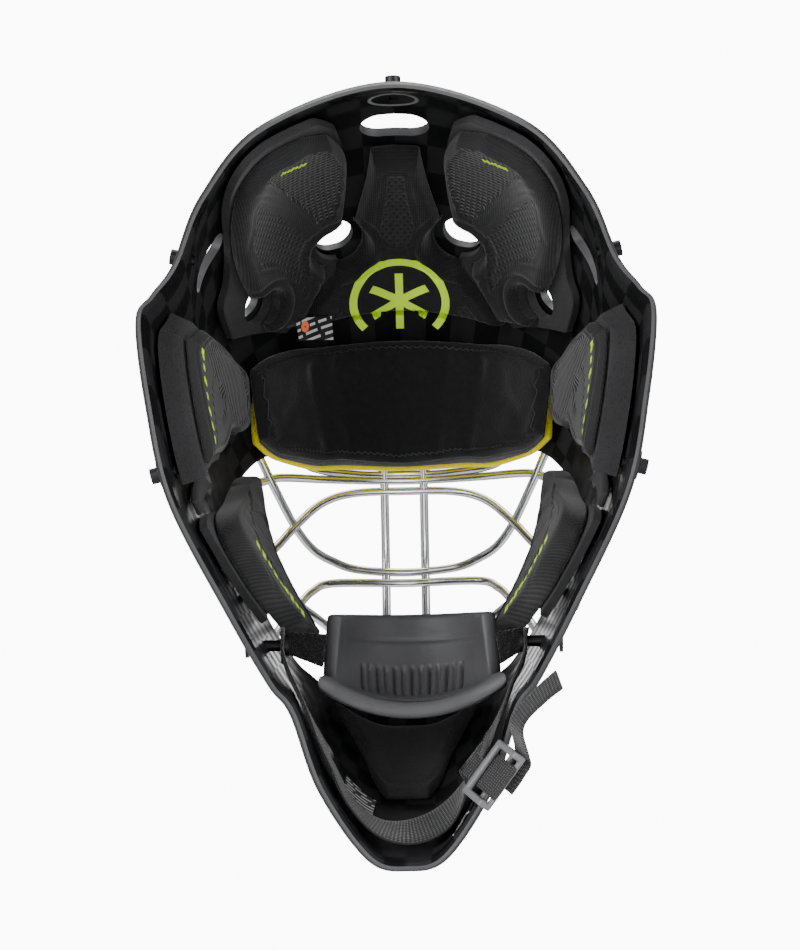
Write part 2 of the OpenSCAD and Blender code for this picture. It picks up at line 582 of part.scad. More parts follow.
// Three-bar buckle; the webbing runs straight under one bar and over the other two
module sling_buckle() {
    x = unit(BUCKLE_LONG);
    y = unit(BUCKLE_RUN);
    z = cross(x, y);
    lift = webbing_t / 2 + 0.35;
    color([0.42, 0.42, 0.43])
        multmatrix([[x[0], y[0], z[0], BUCKLE_AT[0]], [x[1], y[1], z[1], BUCKLE_AT[1]],
                    [x[2], y[2], z[2], BUCKLE_AT[2]], [0, 0, 0, 1]])
            union() {
                for (s = [-1, 1])
                    translate([s * buckle_l / 2 - 1.4, -buckle_w / 2, -lift - bar_t])
                        cube([2.8, buckle_w, 2 * (lift + bar_t)]);
                translate([-buckle_l / 2, -buckle_w / 2, -lift - bar_t])
                    cube([buckle_l, 3, bar_t]);
                for (at = [-1.2, buckle_w / 2 - 2.4])
                    translate([-buckle_l / 2, at, lift]) cube([buckle_l, 2.4, bar_t]);
            }
}

// Printed labels and the woven tag of the padding
module size_label() {
    color([0.02, 0.02, 0.02])
        pad([[[-11.47, 0.50], [-11.44, 0.28]], [[-12.22, 0.48], [-12.0, 0.28]]], 4.3, 4.7, 3, 3, 1);
}
module chin_label() {
    color([0.02, 0.02, 0.02])
        pad([[[11.55, 0.03], [11.2, 0.12]], [[11.75, 0.06], [11.4, 0.15]]], 4.3, 4.7, 2, 2, 1);
}
module liner_tag() {
    color([0.02, 0.02, 0.02])
        pad([[[-0.72, 0.675], [-0.74, 0.735]], [[-1.25, 0.645], [-1.27, 0.705]]],
            pad_out + 0.6, pad_out + 1.1, 3, 2, 1);
}

shell();
cage();
cage_clips();
cage_screws();
cage_tnuts();
harness_studs();
crown_foam_left();
crown_foam_right();
crown_pad_left();
crown_pad_right();
forehead_pad();
yellow_foam();
grey_foam();
sweatband();
temple_foam_left();
temple_foam_right();
temple_pad_left();
temple_pad_right();
ear_foam_left();
ear_foam_right();
jaw_foam_left();
jaw_foam_right();
jaw_pad_left();
jaw_pad_right();
chin_foam();
hook_dots();
chin_cup();
chin_tab_left();
chin_tab_right();
sling_rivets();
sling_strap();
sling_tail();
sling_elastic();
sling_buckle();
size_label();
chin_label();
liner_tag();
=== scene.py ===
"""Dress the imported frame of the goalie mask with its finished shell, cage, padding and sling."""

import logging
import math
from dataclasses import dataclass, field
from enum import Enum
from typing import Callable, Optional, Sequence

import bpy
import numpy as np
from mathutils import Matrix, Vector
from mathutils.bvhtree import BVHTree
from mathutils.kdtree import KDTree


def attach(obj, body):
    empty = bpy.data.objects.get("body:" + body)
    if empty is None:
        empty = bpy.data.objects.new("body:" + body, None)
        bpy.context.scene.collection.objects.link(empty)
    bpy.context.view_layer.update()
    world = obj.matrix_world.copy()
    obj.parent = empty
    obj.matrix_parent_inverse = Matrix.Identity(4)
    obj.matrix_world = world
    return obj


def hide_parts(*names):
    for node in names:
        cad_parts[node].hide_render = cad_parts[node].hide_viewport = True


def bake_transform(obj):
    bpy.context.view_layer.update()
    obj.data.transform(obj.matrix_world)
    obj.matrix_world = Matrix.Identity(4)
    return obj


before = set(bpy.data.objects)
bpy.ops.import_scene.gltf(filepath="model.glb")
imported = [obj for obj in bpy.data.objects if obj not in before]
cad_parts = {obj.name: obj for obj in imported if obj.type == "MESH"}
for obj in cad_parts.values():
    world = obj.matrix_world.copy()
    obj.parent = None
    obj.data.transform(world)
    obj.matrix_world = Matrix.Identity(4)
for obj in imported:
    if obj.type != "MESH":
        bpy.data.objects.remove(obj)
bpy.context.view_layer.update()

LOG = logging.getLogger("goalie_mask")
Array = np.ndarray
Place = tuple[float, float]
Rib = tuple[Place, Place]
Point = tuple[float, float, float]
Colour = tuple[float, float, float]

MM = 0.001
LAST = 13
NUDGE = 0.001

# Depths below the outer skin of the shell, in millimetres
WALL = 4.0
FOAM_IN = 5.8
FOAM_OUT = 9.4
PAD_IN = 10.1
PAD_OUT = 18.1
BAND_IN = 14.5
BAND_OUT = 21.0
TEMPLE_IN = 17.4
TEMPLE_OUT = 22.2


# ---------------------------------------------------------------------------------------------
# The shell's surface, which every layer of padding is laid against


@dataclass(frozen=True)
class ShellNet:
    """Four loops of fourteen stations, in millimetres, that steer the shell's outer skin."""

    rim: tuple[Point, ...] = (
        (0, -60, 133), (54, -60, 115), (80, -57, 85), (92, -52, 57), (101, -52, 44),
        (107, -54, 32), (102.5, -55, -6), (94, -46, -44), (72.5, -12, -82), (57, 17, -105),
        (48, 25, -116), (37, 36, -146), (17, 45, -174), (0, 46, -179))
    rear: tuple[Point, ...] = (
        (0, 0, 162), (62, 2, 140), (88, 4, 98), (92, 5, 61), (96, 6, 46),
        (101, 5, 29), (98, 5, -6), (89, 5, -36), (74, 25, -66), (57, 45, -92),
        (49, 50, -106), (39, 62, -134), (20, 72, -160), (0, 75, -163))
    front: tuple[Point, ...] = (
        (0, 118, 112), (50, 112, 100), (84, 84, 64), (91, 68, 36), (91, 62, 24),
        (91, 60, 12), (88, 58, -12), (81, 62, -36), (70, 68, -58), (56, 85, -80),
        (48, 98, -90), (39, 112, -108), (22, 122, -120), (0, 126, -122))
    opening: tuple[Point, ...] = (
        (0, 120, 31), (36, 115, 30), (62, 102, 23), (74, 92, 10), (76.5, 89, 3),
        (77, 87, -5), (76, 85, -19), (72, 86, -37), (62, 94, -59), (51, 103, -74),
        (44, 108, -79), (30, 117, -85), (12, 123, -88), (0, 124, -88))

    def along(self, loop: tuple[Point, ...], u: Array) -> Array:
        """Follow one loop.

        Args:
            loop: the stations of the wearer's right half.
            u: station values; negative ones lie on the left half.

        Returns:
            Points in millimetres, one for each value of u.
        """
        stations = np.array(loop, dtype=float)
        side = np.where(u < 0, -1.0, 1.0)
        a = np.abs(u)
        side = np.where(a > LAST, -side, side)
        a = np.where(a > LAST, 2 * LAST - a, a)
        i = np.clip(np.floor(a).astype(int), 0, LAST)
        f = (a - i)[..., None]

        def at(k: Array) -> Array:
            """Stations past either middle are mirrored ones."""
            other = (k < 0) | (k > LAST)
            p = stations[np.where(k < 0, -k, np.where(k > LAST, 2 * LAST - k, k))].copy()
            p[..., 0] *= np.where(other, -1.0, 1.0)
            return p

        p0, p1, p2, p3 = at(i - 1), at(i), at(i + 1), at(i + 2)
        out = 0.5 * (2 * p1 + (p2 - p0) * f + (2 * p0 - 5 * p1 + 4 * p2 - p3) * f**2
                     + (3 * p1 - p0 - 3 * p2 + p3) * f**3)
        out[..., 0] *= side
        return out

    def skin(self, u: Array | float, t: Array | float) -> Array:
        """Points of the outer skin in metres, at station u and a fraction t towards the opening."""
        u, t = np.broadcast_arrays(np.asarray(u, dtype=float), np.asarray(t, dtype=float))
        t = t[..., None]
        q = 1 - t
        return MM * (q**3 * self.along(self.rim, u) + 3 * q * q * t * self.along(self.rear, u)
                     + 3 * q * t * t * self.along(self.front, u)
                     + t**3 * self.along(self.opening, u))

    def outward(self, u: Array | float, t: Array | float) -> Array:
        """Unit normals of the outer skin."""
        u, t = np.asarray(u, dtype=float), np.asarray(t, dtype=float)
        around = self.skin(u + NUDGE, t) - self.skin(u - NUDGE, t)
        across = self.skin(u, t + NUDGE) - self.skin(u, t - NUDGE)
        n = np.cross(around, across)
        return n / np.linalg.norm(n, axis=-1, keepdims=True)

    def lay(self, u: Array | float, t: Array | float, depth: Array | float) -> Array:
        """Points at a depth in millimetres below the outer skin."""
        return self.skin(u, t) - MM * np.asarray(depth, dtype=float)[..., None] * self.outward(u, t)

    def axes(self, u: float, t: float) -> tuple[Array, Array, Array]:
        """Local frame on the skin: x along the loop, y towards the opening, z outward."""
        z = self.outward(u, t)
        across = self.skin(u, t + NUDGE) - self.skin(u, t - NUDGE)
        x = np.cross(across, z)
        x /= np.linalg.norm(x)
        return x, np.cross(z, x), z

    def spot(self, u: float, t: float, x: Array, y: Array) -> tuple[Array, Array]:
        """Turn offsets in metres from a place on the skin into station and fraction.

        Args:
            u: station of the place.
            t: fraction of the place.
            x: offsets along the loop.
            y: offsets towards the opening.

        Returns:
            The stations and the fractions.
        """
        ex, ey, _ = self.axes(u, t)
        around = (self.skin(u + NUDGE, t) - self.skin(u - NUDGE, t)) / (2 * NUDGE)
        across = (self.skin(u, t + NUDGE) - self.skin(u, t - NUDGE)) / (2 * NUDGE)
        m = np.array([[around @ ex, across @ ex], [around @ ey, across @ ey]])
        inv = np.linalg.inv(m)
        return u + inv[0, 0] * x + inv[0, 1] * y, t + inv[1, 0] * x + inv[1, 1] * y


NET = ShellNet()


def spline(points: Array, steps: int, closed: bool = False) -> Array:
    """Smooth curve through points.

    Args:
        points: the points to pass through.
        steps: pieces that each stretch is cut into.
        closed: whether the curve joins its own start.

    Returns:
        The points of the curve.
    """
    p = np.asarray(points, dtype=float)
    n = len(p)
    out = []
    for i in range(n if closed else n - 1):
        if closed:
            p0, p1, p2, p3 = p[i - 1], p[i], p[(i + 1) % n], p[(i + 2) % n]
        else:
            p0, p1, p2, p3 = p[max(i - 1, 0)], p[i], p[i + 1], p[min(i + 2, n - 1)]
        for k in range(steps):
            f = k / steps
            out.append(0.5 * (2 * p1 + (p2 - p0) * f + (2 * p0 - 5 * p1 + 4 * p2 - p3) * f**2
                              + (3 * p1 - p0 - 3 * p2 + p3) * f**3))
    if not closed:
        out.append(p[-1])
    return np.array(out)


def mirrored(p: Array) -> Array:
    """The same points on the wearer's other side."""
    return np.asarray(p) * np.array([-1.0, 1.0, 1.0])


# ---------------------------------------------------------------------------------------------
# Finishes


class Mix:
    """A material's node tree, with one short call for each node."""

    def __init__(self, name: str) -> None:
        """Start an empty material with its shader and output."""
        self.material = bpy.data.materials.new(name)
        self.material.use_nodes = True
        self.tree = self.material.node_tree
        self.tree.nodes.clear()
        self.shader = self.tree.nodes.new("ShaderNodeBsdfPrincipled")
        output = self.tree.nodes.new("ShaderNodeOutputMaterial")
        self.tree.links.new(self.shader.outputs[0], output.inputs[0])
        self.coords = self.tree.nodes.new("ShaderNodeTexCoord")

    def node(self, kind: str, inputs: Optional[dict[str | int, object]] = None, **settings: object
             ) -> bpy.types.Node:
        """Add a node.

        Args:
            kind: the node's type without its ShaderNode prefix.
            inputs: a socket to link, or a value to set, for each input.
            settings: properties of the node.

        Returns:
            The node.
        """
        made = self.tree.nodes.new("ShaderNode" + kind)
        for key, value in settings.items():
            setattr(made, key, value)
        for key, value in (inputs or {}).items():
            if isinstance(value, bpy.types.NodeSocket):
                self.tree.links.new(value, made.inputs[key])
            else:
                made.inputs[key].default_value = value
        return made

    def set(self, **values: object) -> None:
        """Set or link the shader's sockets, named with underscores for spaces."""
        for key, value in values.items():
            socket = self.shader.inputs[key.replace("_", " ")]
            if isinstance(value, bpy.types.NodeSocket):
                self.tree.links.new(value, socket)
            else:
                socket.default_value = value

    def uv(self) -> bpy.types.NodeSocket:
        """The piece's own UV map, in metres."""
        return self.coords.outputs["UV"]

    def here(self) -> bpy.types.NodeSocket:
        """Object coordinates."""
        return self.coords.outputs["Object"]

    def noise(self, scale: float, detail: float = 3, vector: Optional[bpy.types.NodeSocket] = None
              ) -> bpy.types.NodeSocket:
        """Cloudy variation of the given scale."""
        return self.node("TexNoise", {"Vector": vector or self.here(), "Scale": scale,
                                      "Detail": detail}).outputs["Fac"]

    def bands(self, pitch: float, direction: str = "X", distortion: float = 0.0,
              vector: Optional[bpy.types.NodeSocket] = None, profile: str = "SIN"
              ) -> bpy.types.NodeSocket:
        """Parallel ridges a pitch apart, in metres."""
        return self.node("TexWave", {"Vector": vector or self.uv(),
                                     "Scale": math.pi / (10 * pitch), "Distortion": distortion},
                         bands_direction=direction, wave_profile=profile).outputs["Fac"]

    def dots(self, pitch: float, vector: Optional[bpy.types.NodeSocket] = None,
             spread: float = 0.0) -> bpy.types.NodeSocket:
        """Distance from the nearest of many dots a pitch apart, from 0 to about 0.7."""
        return self.node("TexVoronoi", {"Vector": vector or self.uv(), "Scale": 1 / pitch,
                                        "Randomness": spread}).outputs["Distance"]

    def turned(self, angle: float) -> bpy.types.NodeSocket:
        """The UV map turned by an angle in degrees."""
        return self.node("Mapping", {"Vector": self.uv(),
                                     "Rotation": (0.0, 0.0, math.radians(angle))}).outputs[0]

    def blend(self, factor: object, a: Colour, b: Colour) -> bpy.types.NodeSocket:
        """Colour between a and b."""
        made = self.node("Mix", {"Factor": factor}, data_type="RGBA")
        made.inputs[6].default_value = (*a, 1)
        made.inputs[7].default_value = (*b, 1)
        return made.outputs[2]

    def span(self, value: bpy.types.NodeSocket, low: float, high: float, to_low: float = 0.0,
             to_high: float = 1.0) -> bpy.types.NodeSocket:
        """Stretch a value's range to another range."""
        return self.node("MapRange", {0: value, 1: low, 2: high, 3: to_low, 4: to_high}).outputs[0]

    def math(self, operation: str, a: object, b: object = 0.0) -> bpy.types.NodeSocket:
        """One sum of two values."""
        return self.node("Math", {0: a, 1: b}, operation=operation).outputs[0]

    def bump(self, height: bpy.types.NodeSocket, distance: float, strength: float = 1.0,
             under: Optional[bpy.types.NodeSocket] = None) -> bpy.types.NodeSocket:
        """Bumps of a real height in metres, over others."""
        inputs: dict[str | int, object] = {"Height": height, "Distance": distance,
                                           "Strength": strength}
        if under:
            inputs["Normal"] = under
        return self.node("Bump", inputs).outputs[0]


class Pattern(Enum):
    """What the face of a moulded or woven cloth shows."""

    PLAIN = "plain"
    DIMPLE = "dimple"
    DIAMOND = "diamond"
    RIB = "rib"
    SLASH = "slash"
    VELOUR = "velour"
    WEBBING = "webbing"
    HERRINGBONE = "herringbone"
    HOOK = "hook"
    PORES = "pores"


@dataclass(frozen=True)
class Cloth:
    """A knit, velour, foam or webbing."""

    name: str
    base: Colour
    pattern: Pattern = Pattern.PLAIN
    pitch: float = 1.0
    depth: float = 0.3
    rough: float = 0.85
    sheen: float = 0.15
    lift: float = 1.6

    def height(self, mix: Mix) -> bpy.types.NodeSocket:
        """The pattern's height, from 0 to 1."""
        pitch = self.pitch * MM
        if self.pattern is Pattern.DIMPLE:
            return mix.span(mix.dots(pitch), 0.18, 0.42)
        if self.pattern is Pattern.DIAMOND:
            return mix.math("MAXIMUM", mix.bands(pitch, "X", 0, mix.turned(35)),
                            mix.bands(pitch, "X", 0, mix.turned(-35)))
        if self.pattern is Pattern.RIB:
            return mix.bands(pitch, "X", 0, mix.turned(52))
        if self.pattern is Pattern.SLASH:
            return mix.math("MULTIPLY", mix.bands(pitch, "X", 0, mix.turned(72)),
                            mix.span(mix.bands(pitch * 4, "X", 0.6, mix.turned(15)), 0.0, 0.5))
        if self.pattern is Pattern.WEBBING:
            return mix.math("MULTIPLY", mix.bands(pitch, "X"), mix.bands(pitch * 0.7, "Y"))
        if self.pattern is Pattern.HERRINGBONE:
            tooth = mix.node("TexWave", {"Vector": mix.uv(), "Scale": math.pi / (10 * pitch * 4)},
                             bands_direction="Y", wave_profile="TRI").outputs["Fac"]
            shift = mix.math("MULTIPLY", tooth, pitch * 3)
            split = mix.node("SeparateXYZ", {0: mix.uv()})
            moved = mix.node("CombineXYZ", {0: mix.math("ADD", split.outputs[0], shift),
                                            1: split.outputs[1]}).outputs[0]
            return mix.bands(pitch, "X", 0, moved)
        if self.pattern is Pattern.HOOK:
            return mix.span(mix.dots(pitch, mix.here(), 0.8), 0.1, 0.5, 1.0, 0.0)
        if self.pattern is Pattern.PORES:
            return mix.span(mix.dots(pitch, mix.here(), 1.0), 0.0, 0.35)
        if self.pattern is Pattern.VELOUR:
            return mix.noise(1 / pitch, 5)
        return mix.math("MULTIPLY", mix.bands(pitch, "X"), mix.bands(pitch, "Y"))

    def build(self) -> bpy.types.Material:
        """Make the material, with painted shade darkening the low parts of its pattern.

        Returns:
            The finished material.
        """
        mix = Mix(self.name)
        height = self.height(mix)
        light = tuple(min(1.0, c * self.lift) for c in self.base)
        # dark is the base at 0.55: painted shade for the hollows of the weave, pores and dimples
        dark = tuple(c * 0.55 for c in self.base)
        cloud = mix.span(mix.noise(38, 4), 0.3, 0.7)
        worn = mix.blend(cloud, self.base, light)
        # Colour runs from dark on the pattern's low parts to the worn tone on its high parts, which
        # is painted shade in the hollows
        shade = mix.node("Mix", {"Factor": height}, data_type="RGBA")
        shade.inputs[6].default_value = (*dark, 1)
        mix.tree.links.new(worn, shade.inputs[7])
        fuzz = mix.noise(2600, 2)
        fine = mix.bump(fuzz, 0.00012, 0.6)
        mix.set(Base_Color=shade.outputs[2], Normal=mix.bump(height, self.depth * MM, 1.0, fine),
                Roughness=mix.span(cloud, 0, 1, self.rough - 0.08, self.rough + 0.06),
                Sheen_Weight=self.sheen, Sheen_Roughness=0.45, Specular_IOR_Level=0.25)
        return mix.material


@dataclass(frozen=True)
class Moulding:
    """A smooth moulded plastic or foam skin."""

    name: str
    base: Colour
    rough: float = 0.45
    grain: float = 0.05

    def build(self) -> bpy.types.Material:
        """Make the material with fine grain and slight wear."""
        mix = Mix(self.name)
        cloud = mix.span(mix.noise(45, 5), 0.3, 0.7)
        colour = mix.blend(cloud, tuple(c * 0.86 for c in self.base),
                           tuple(min(1.0, c * 1.14) for c in self.base))
        mix.set(Base_Color=colour, Normal=mix.bump(mix.noise(1400, 3), self.grain * MM, 0.7),
                Roughness=mix.span(mix.noise(160, 4), 0.3, 0.7, self.rough - 0.06,
                                   self.rough + 0.08))
        return mix.material


@dataclass(frozen=True)
class Carbon:
    """Spread-tow carbon under clear coat, in squares whose tows run alternate ways."""

    name: str
    square: float = 15.0
    dark: Colour = (0.0042, 0.0042, 0.0046)
    light: Colour = (0.017, 0.017, 0.018)

    def build(self) -> bpy.types.Material:
        """Make the material, with the tows of each square running across those of its neighbours.
        """
        mix = Mix(self.name)
        size = self.square * MM
        check = mix.node("TexChecker", {"Vector": mix.uv(), "Scale": 1 / size})
        cloud = mix.span(mix.noise(30, 4), 0.3, 0.7, 0.0, 0.35)
        factor = mix.math("ADD", mix.math("MULTIPLY", check.outputs["Fac"], 0.75), cloud)
        tows = mix.node("Mix", {0: check.outputs["Fac"], 2: mix.bands(0.0011, "X", 0.4),
                                3: mix.bands(0.0011, "Y", 0.4)}, data_type="FLOAT").outputs[0]
        mix.set(Base_Color=mix.blend(factor, self.dark, self.light),
                Roughness=mix.span(check.outputs["Fac"], 0, 1, 0.3, 0.45),
                Normal=mix.bump(tows, 0.00001, 0.4), Specular_IOR_Level=0.02)
        return mix.material


@dataclass(frozen=True)
class Metal:
    """Chromed or brushed metal."""

    name: str
    base: Colour
    rough: float
    scratch: float = 0.4

    def build(self) -> bpy.types.Material:
        """Make the material with fine scratches and a few dull patches."""
        mix = Mix(self.name)
        haze = mix.span(mix.noise(55, 5), 0.35, 0.75)
        stretched = mix.node("Mapping", {"Vector": mix.here(), "Scale": (900.0, 900.0, 70.0)})
        mix.set(Base_Color=mix.blend(haze, self.base, tuple(c * 0.86 for c in self.base)),
                Metallic=1.0,
                Roughness=mix.span(haze, 0, 1, self.rough, self.rough + 0.1),
                Normal=mix.bump(mix.noise(1.0, 2, stretched.outputs[0]), 0.00003, self.scratch))
        return mix.material


@dataclass(frozen=True)
class Print:
    """Plain printed bars on a gloss label, in place of any lettering."""

    name: str
    ground: Colour
    ink: Colour
    row: float = 3.0
    rough: float = 0.3

    def build(self) -> bpy.types.Material:
        """Make the material with rows of short bars of uneven length."""
        mix = Mix(self.name)
        split = mix.node("SeparateXYZ", {0: mix.uv()})
        rows = mix.math("MULTIPLY", split.outputs[1], 1 / (self.row * MM))
        line = mix.math("FLOOR", rows)
        inside = mix.math("LESS_THAN", mix.math("ABSOLUTE", mix.math(
            "SUBTRACT", mix.math("FRACT", rows), 0.5)), 0.2)
        stretch = mix.node("CombineXYZ", {0: mix.math("MULTIPLY", split.outputs[0], 260.0),
                                          1: mix.math("MULTIPLY", line, 7.3)}).outputs[0]
        word = mix.math("GREATER_THAN", mix.noise(1.0, 0, stretch), 0.42)
        mix.set(Base_Color=mix.blend(mix.math("MULTIPLY", inside, word), self.ground, self.ink),
                Roughness=self.rough, Normal=mix.bump(mix.noise(700, 3), 0.00004, 0.5))
        return mix.material


class Shop:
    """Every finish, each made once."""

    def __init__(self) -> None:
        """Start with nothing made."""
        self.made: dict[str, bpy.types.Material] = {}

    def get(self, finish: Cloth | Moulding | Carbon | Metal | Print) -> bpy.types.Material:
        """The material of a finish."""
        if finish.name not in self.made:
            self.made[finish.name] = finish.build()
        return self.made[finish.name]


SHOP = Shop()
BLACK: Colour = (0.011, 0.011, 0.0122)
LINER = Cloth("liner_knit", BLACK, Pattern.PLAIN, 0.9, 0.12)
LINER_DIMPLE = Cloth("liner_dimple", (0.013, 0.013, 0.014), Pattern.DIMPLE, 2.3, 0.55)
LINER_DIAMOND = Cloth("liner_diamond", (0.012, 0.012, 0.013), Pattern.DIAMOND, 2.6, 0.35)
LINER_RIB = Cloth("liner_rib", (0.014, 0.014, 0.015), Pattern.RIB, 1.9, 0.5)
LINER_SLASH = Cloth("liner_slash", (0.022, 0.022, 0.024), Pattern.SLASH, 2.6, 0.6)
BACKING = Cloth("backing_foam", (0.017, 0.017, 0.018), Pattern.PORES, 1.4, 0.12, 0.92, 0.05)
TEMPLE_FOAM = Cloth("temple_foam", (0.019, 0.019, 0.020), Pattern.PORES, 1.3, 0.12, 0.92, 0.05)
GREY_FOAM = Cloth("grey_foam", (0.06, 0.06, 0.064), Pattern.PORES, 1.2, 0.12, 0.92, 0.05)
YELLOW_FOAM = Cloth("yellow_foam", (0.95, 0.76, 0.0), Pattern.PORES, 1.2, 0.1, 0.9, 0.05, 1.15)
VELOUR = Cloth("velour", (0.0055, 0.0055, 0.006), Pattern.VELOUR, 1.1, 0.25, 0.95, 0.35, 2.0)
THREAD = Moulding("stitching", (0.02, 0.02, 0.021), 0.6, 0.05)
HOOK = Cloth("hook_tape", (0.006, 0.006, 0.006), Pattern.HOOK, 1.1, 0.5, 0.85, 0.2)
WEBBING = Cloth("webbing", (0.02, 0.02, 0.021), Pattern.WEBBING, 1.5, 0.3, 0.8, 0.3, 1.8)
ELASTIC = Cloth("elastic", (0.012, 0.012, 0.013), Pattern.HERRINGBONE, 1.0, 0.25, 0.8, 0.3, 1.8)
CARBON = Carbon("carbon_inside")
SHELL_OUT = Moulding("shell_outside", (0.0075, 0.0075, 0.008), 0.42, 0.02)
SHELL_EDGE = Moulding("shell_edge", (0.035, 0.035, 0.037), 0.5, 0.06)
CUP = Moulding("chin_cup_skin", (0.056, 0.056, 0.06), 0.5, 0.1)
BUCKLE = Moulding("buckle_plastic", (0.13, 0.13, 0.135), 0.48, 0.05)
CHROME = Metal("chrome_wire", (0.72, 0.725, 0.735), 0.16)
STEEL = Metal("satin_steel", (0.42, 0.42, 0.43), 0.34)
BLACKENED = Metal("blackened_steel", (0.03, 0.03, 0.032), 0.42)
LIME = Moulding("lime_print", (0.58, 0.95, 0.0), 0.55, 0.03)
LABEL = Print("label_print", (0.008, 0.008, 0.009), (0.55, 0.55, 0.56), 2.6)
TAG = Print("tag_print", (0.006, 0.006, 0.0065), (0.5, 0.5, 0.5), 3.4)
ORANGE = Moulding("tag_mark", (0.8, 0.16, 0.05), 0.6, 0.05)
EMBLEM = Moulding("inner_emblem", (0.16, 0.16, 0.165), 0.35, 0.02)


# ---------------------------------------------------------------------------------------------
# The bench: shared ways of making meshes


def deselect() -> None:
    """Leave nothing selected."""
    if bpy.context.object and bpy.context.object.mode != "OBJECT":
        bpy.ops.object.mode_set(mode="OBJECT")
    bpy.ops.object.select_all(action="DESELECT")


def pick(piece: bpy.types.Object) -> None:
    """Make a piece the only selected one, and active."""
    deselect()
    piece.select_set(True)
    bpy.context.view_layer.objects.active = piece


def points_of(piece: bpy.types.Object) -> Array:
    """A piece's vertices."""
    flat = np.empty(len(piece.data.vertices) * 3)
    piece.data.vertices.foreach_get("co", flat)
    return flat.reshape(-1, 3)


def move_points(piece: bpy.types.Object, points: Array) -> None:
    """Put a piece's vertices at new places."""
    piece.data.vertices.foreach_set("co", np.ascontiguousarray(points, dtype=float).ravel())
    piece.data.update()


def keep_values(piece: bpy.types.Object, **values: Array) -> None:
    """Store a number for each vertex, which later subdivision carries along."""
    for name, array in values.items():
        layer = piece.data.attributes.new(name, "FLOAT", "POINT")
        layer.data.foreach_set("value", np.ascontiguousarray(array, dtype=float))


def kept(piece: bpy.types.Object, name: str) -> Array:
    """Read the numbers stored for the vertices."""
    layer = piece.data.attributes[name]
    out = np.empty(len(layer.data))
    layer.data.foreach_get("value", out)
    return out


def write_uv(piece: bpy.types.Object, uv: Array) -> None:
    """Give a piece a UV map from one place, in metres, for each vertex."""
    mesh = piece.data
    layer = mesh.uv_layers[0] if mesh.uv_layers else mesh.uv_layers.new(name="UVMap")
    index = np.empty(len(mesh.loops), dtype=int)
    mesh.loops.foreach_get("vertex_index", index)
    layer.data.foreach_set("uv", uv[index].ravel())


def apply_modifier(piece: bpy.types.Object, kind: str, **settings: object) -> None:
    """Add a modifier, set it and apply it.

    Args:
        piece: the piece to change.
        kind: the modifier's type.
        settings: its properties.
    """
    pick(piece)
    modifier = piece.modifiers.new(kind.title(), kind)
    for key, value in settings.items():
        setattr(modifier, key, value)
    bpy.ops.object.modifier_apply(modifier=modifier.name)


def refine(piece: bpy.types.Object, levels: int) -> None:
    """Subdivide a piece smoothly."""
    if levels:
        apply_modifier(piece, "SUBSURF", levels=levels, render_levels=levels)


def smooth(piece: bpy.types.Object, angle: float = 40) -> None:
    """Shade smoothly across edges blunter than an angle in degrees."""
    pick(piece)
    bpy.ops.object.shade_smooth_by_angle(angle=math.radians(angle))


def dress(piece: bpy.types.Object, finish: Cloth | Moulding | Carbon | Metal | Print,
          body: str = "shell") -> bpy.types.Object:
    """Give a piece its material and its body."""
    piece.data.materials.clear()
    piece.data.materials.append(SHOP.get(finish))
    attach(piece, body)
    LOG.info("%s: %d faces", piece.name, len(piece.data.polygons))
    return piece


def sheet(name: str, n: int, m: int, closed: bool = True) -> bpy.types.Object:
    """Flat grid from 0 to 1, raised into a closed slab of height 1 unless it stays open.

    Args:
        name: the new piece's name.
        n: cells along x.
        m: cells along y.
        closed: whether the sheet gets its second face.

    Returns:
        The piece.
    """
    deselect()
    bpy.ops.mesh.primitive_grid_add(x_subdivisions=n, y_subdivisions=m, size=1,
                                    location=(0.5, 0.5, 0))
    piece = bpy.context.object
    piece.name = piece.data.name = name
    bpy.ops.object.transform_apply(location=True, rotation=True, scale=True)
    if closed:
        bpy.ops.object.mode_set(mode="EDIT")
        bpy.ops.mesh.select_all(action="SELECT")
        bpy.ops.mesh.extrude_region_move(TRANSFORM_OT_translate={"value": (0, 0, 1)})
        bpy.ops.mesh.select_all(action="SELECT")
        bpy.ops.mesh.normals_make_consistent(inside=False)
        bpy.ops.object.mode_set(mode="OBJECT")
    return piece


def shape_sheet(piece: bpy.types.Object, place: Callable[[Array, Array, Array], Array],
                size: Place) -> None:
    """Move a sheet's vertices to their places and turn its faces outwards.

    Args:
        piece: a sheet made by sheet().
        place: gives points in metres from x, y and level, each from 0 to 1.
        size: length and width in metres, for the UV map.
    """
    flat = points_of(piece)
    s, r, level = flat[:, 0], flat[:, 1], flat[:, 2]
    keep_values(piece, s=s, r=r, level=level)
    write_uv(piece, np.stack([s * size[0], r * size[1]], axis=1))
    move_points(piece, place(s, r, level))
    e = 0.01
    at = [np.array([v]) for v in (0.5, 0.5, 0.5)]
    base = place(*at)
    ds = place(at[0] + e, at[1], at[2]) - base
    dr = place(at[0], at[1] + e, at[2]) - base
    dl = place(at[0], at[1], at[2] + e) - base
    if float((np.cross(ds, dr) * dl).sum()) < 0:
        pick(piece)
        bpy.ops.object.mode_set(mode="EDIT")
        bpy.ops.mesh.select_all(action="SELECT")
        bpy.ops.mesh.flip_normals()
        bpy.ops.object.mode_set(mode="OBJECT")


def distance_to(points: Array, path: Array) -> Array:
    """Distance from each point to the nearest stretch of a path."""
    best = np.full(len(points), 1e9)
    for a, b in zip(path[:-1], path[1:]):
        way = b - a
        f = np.clip(((points - a) @ way) / max(float(way @ way), 1e-18), 0, 1)
        best = np.minimum(best, np.linalg.norm(points - a - f[:, None] * way, axis=1))
    return best


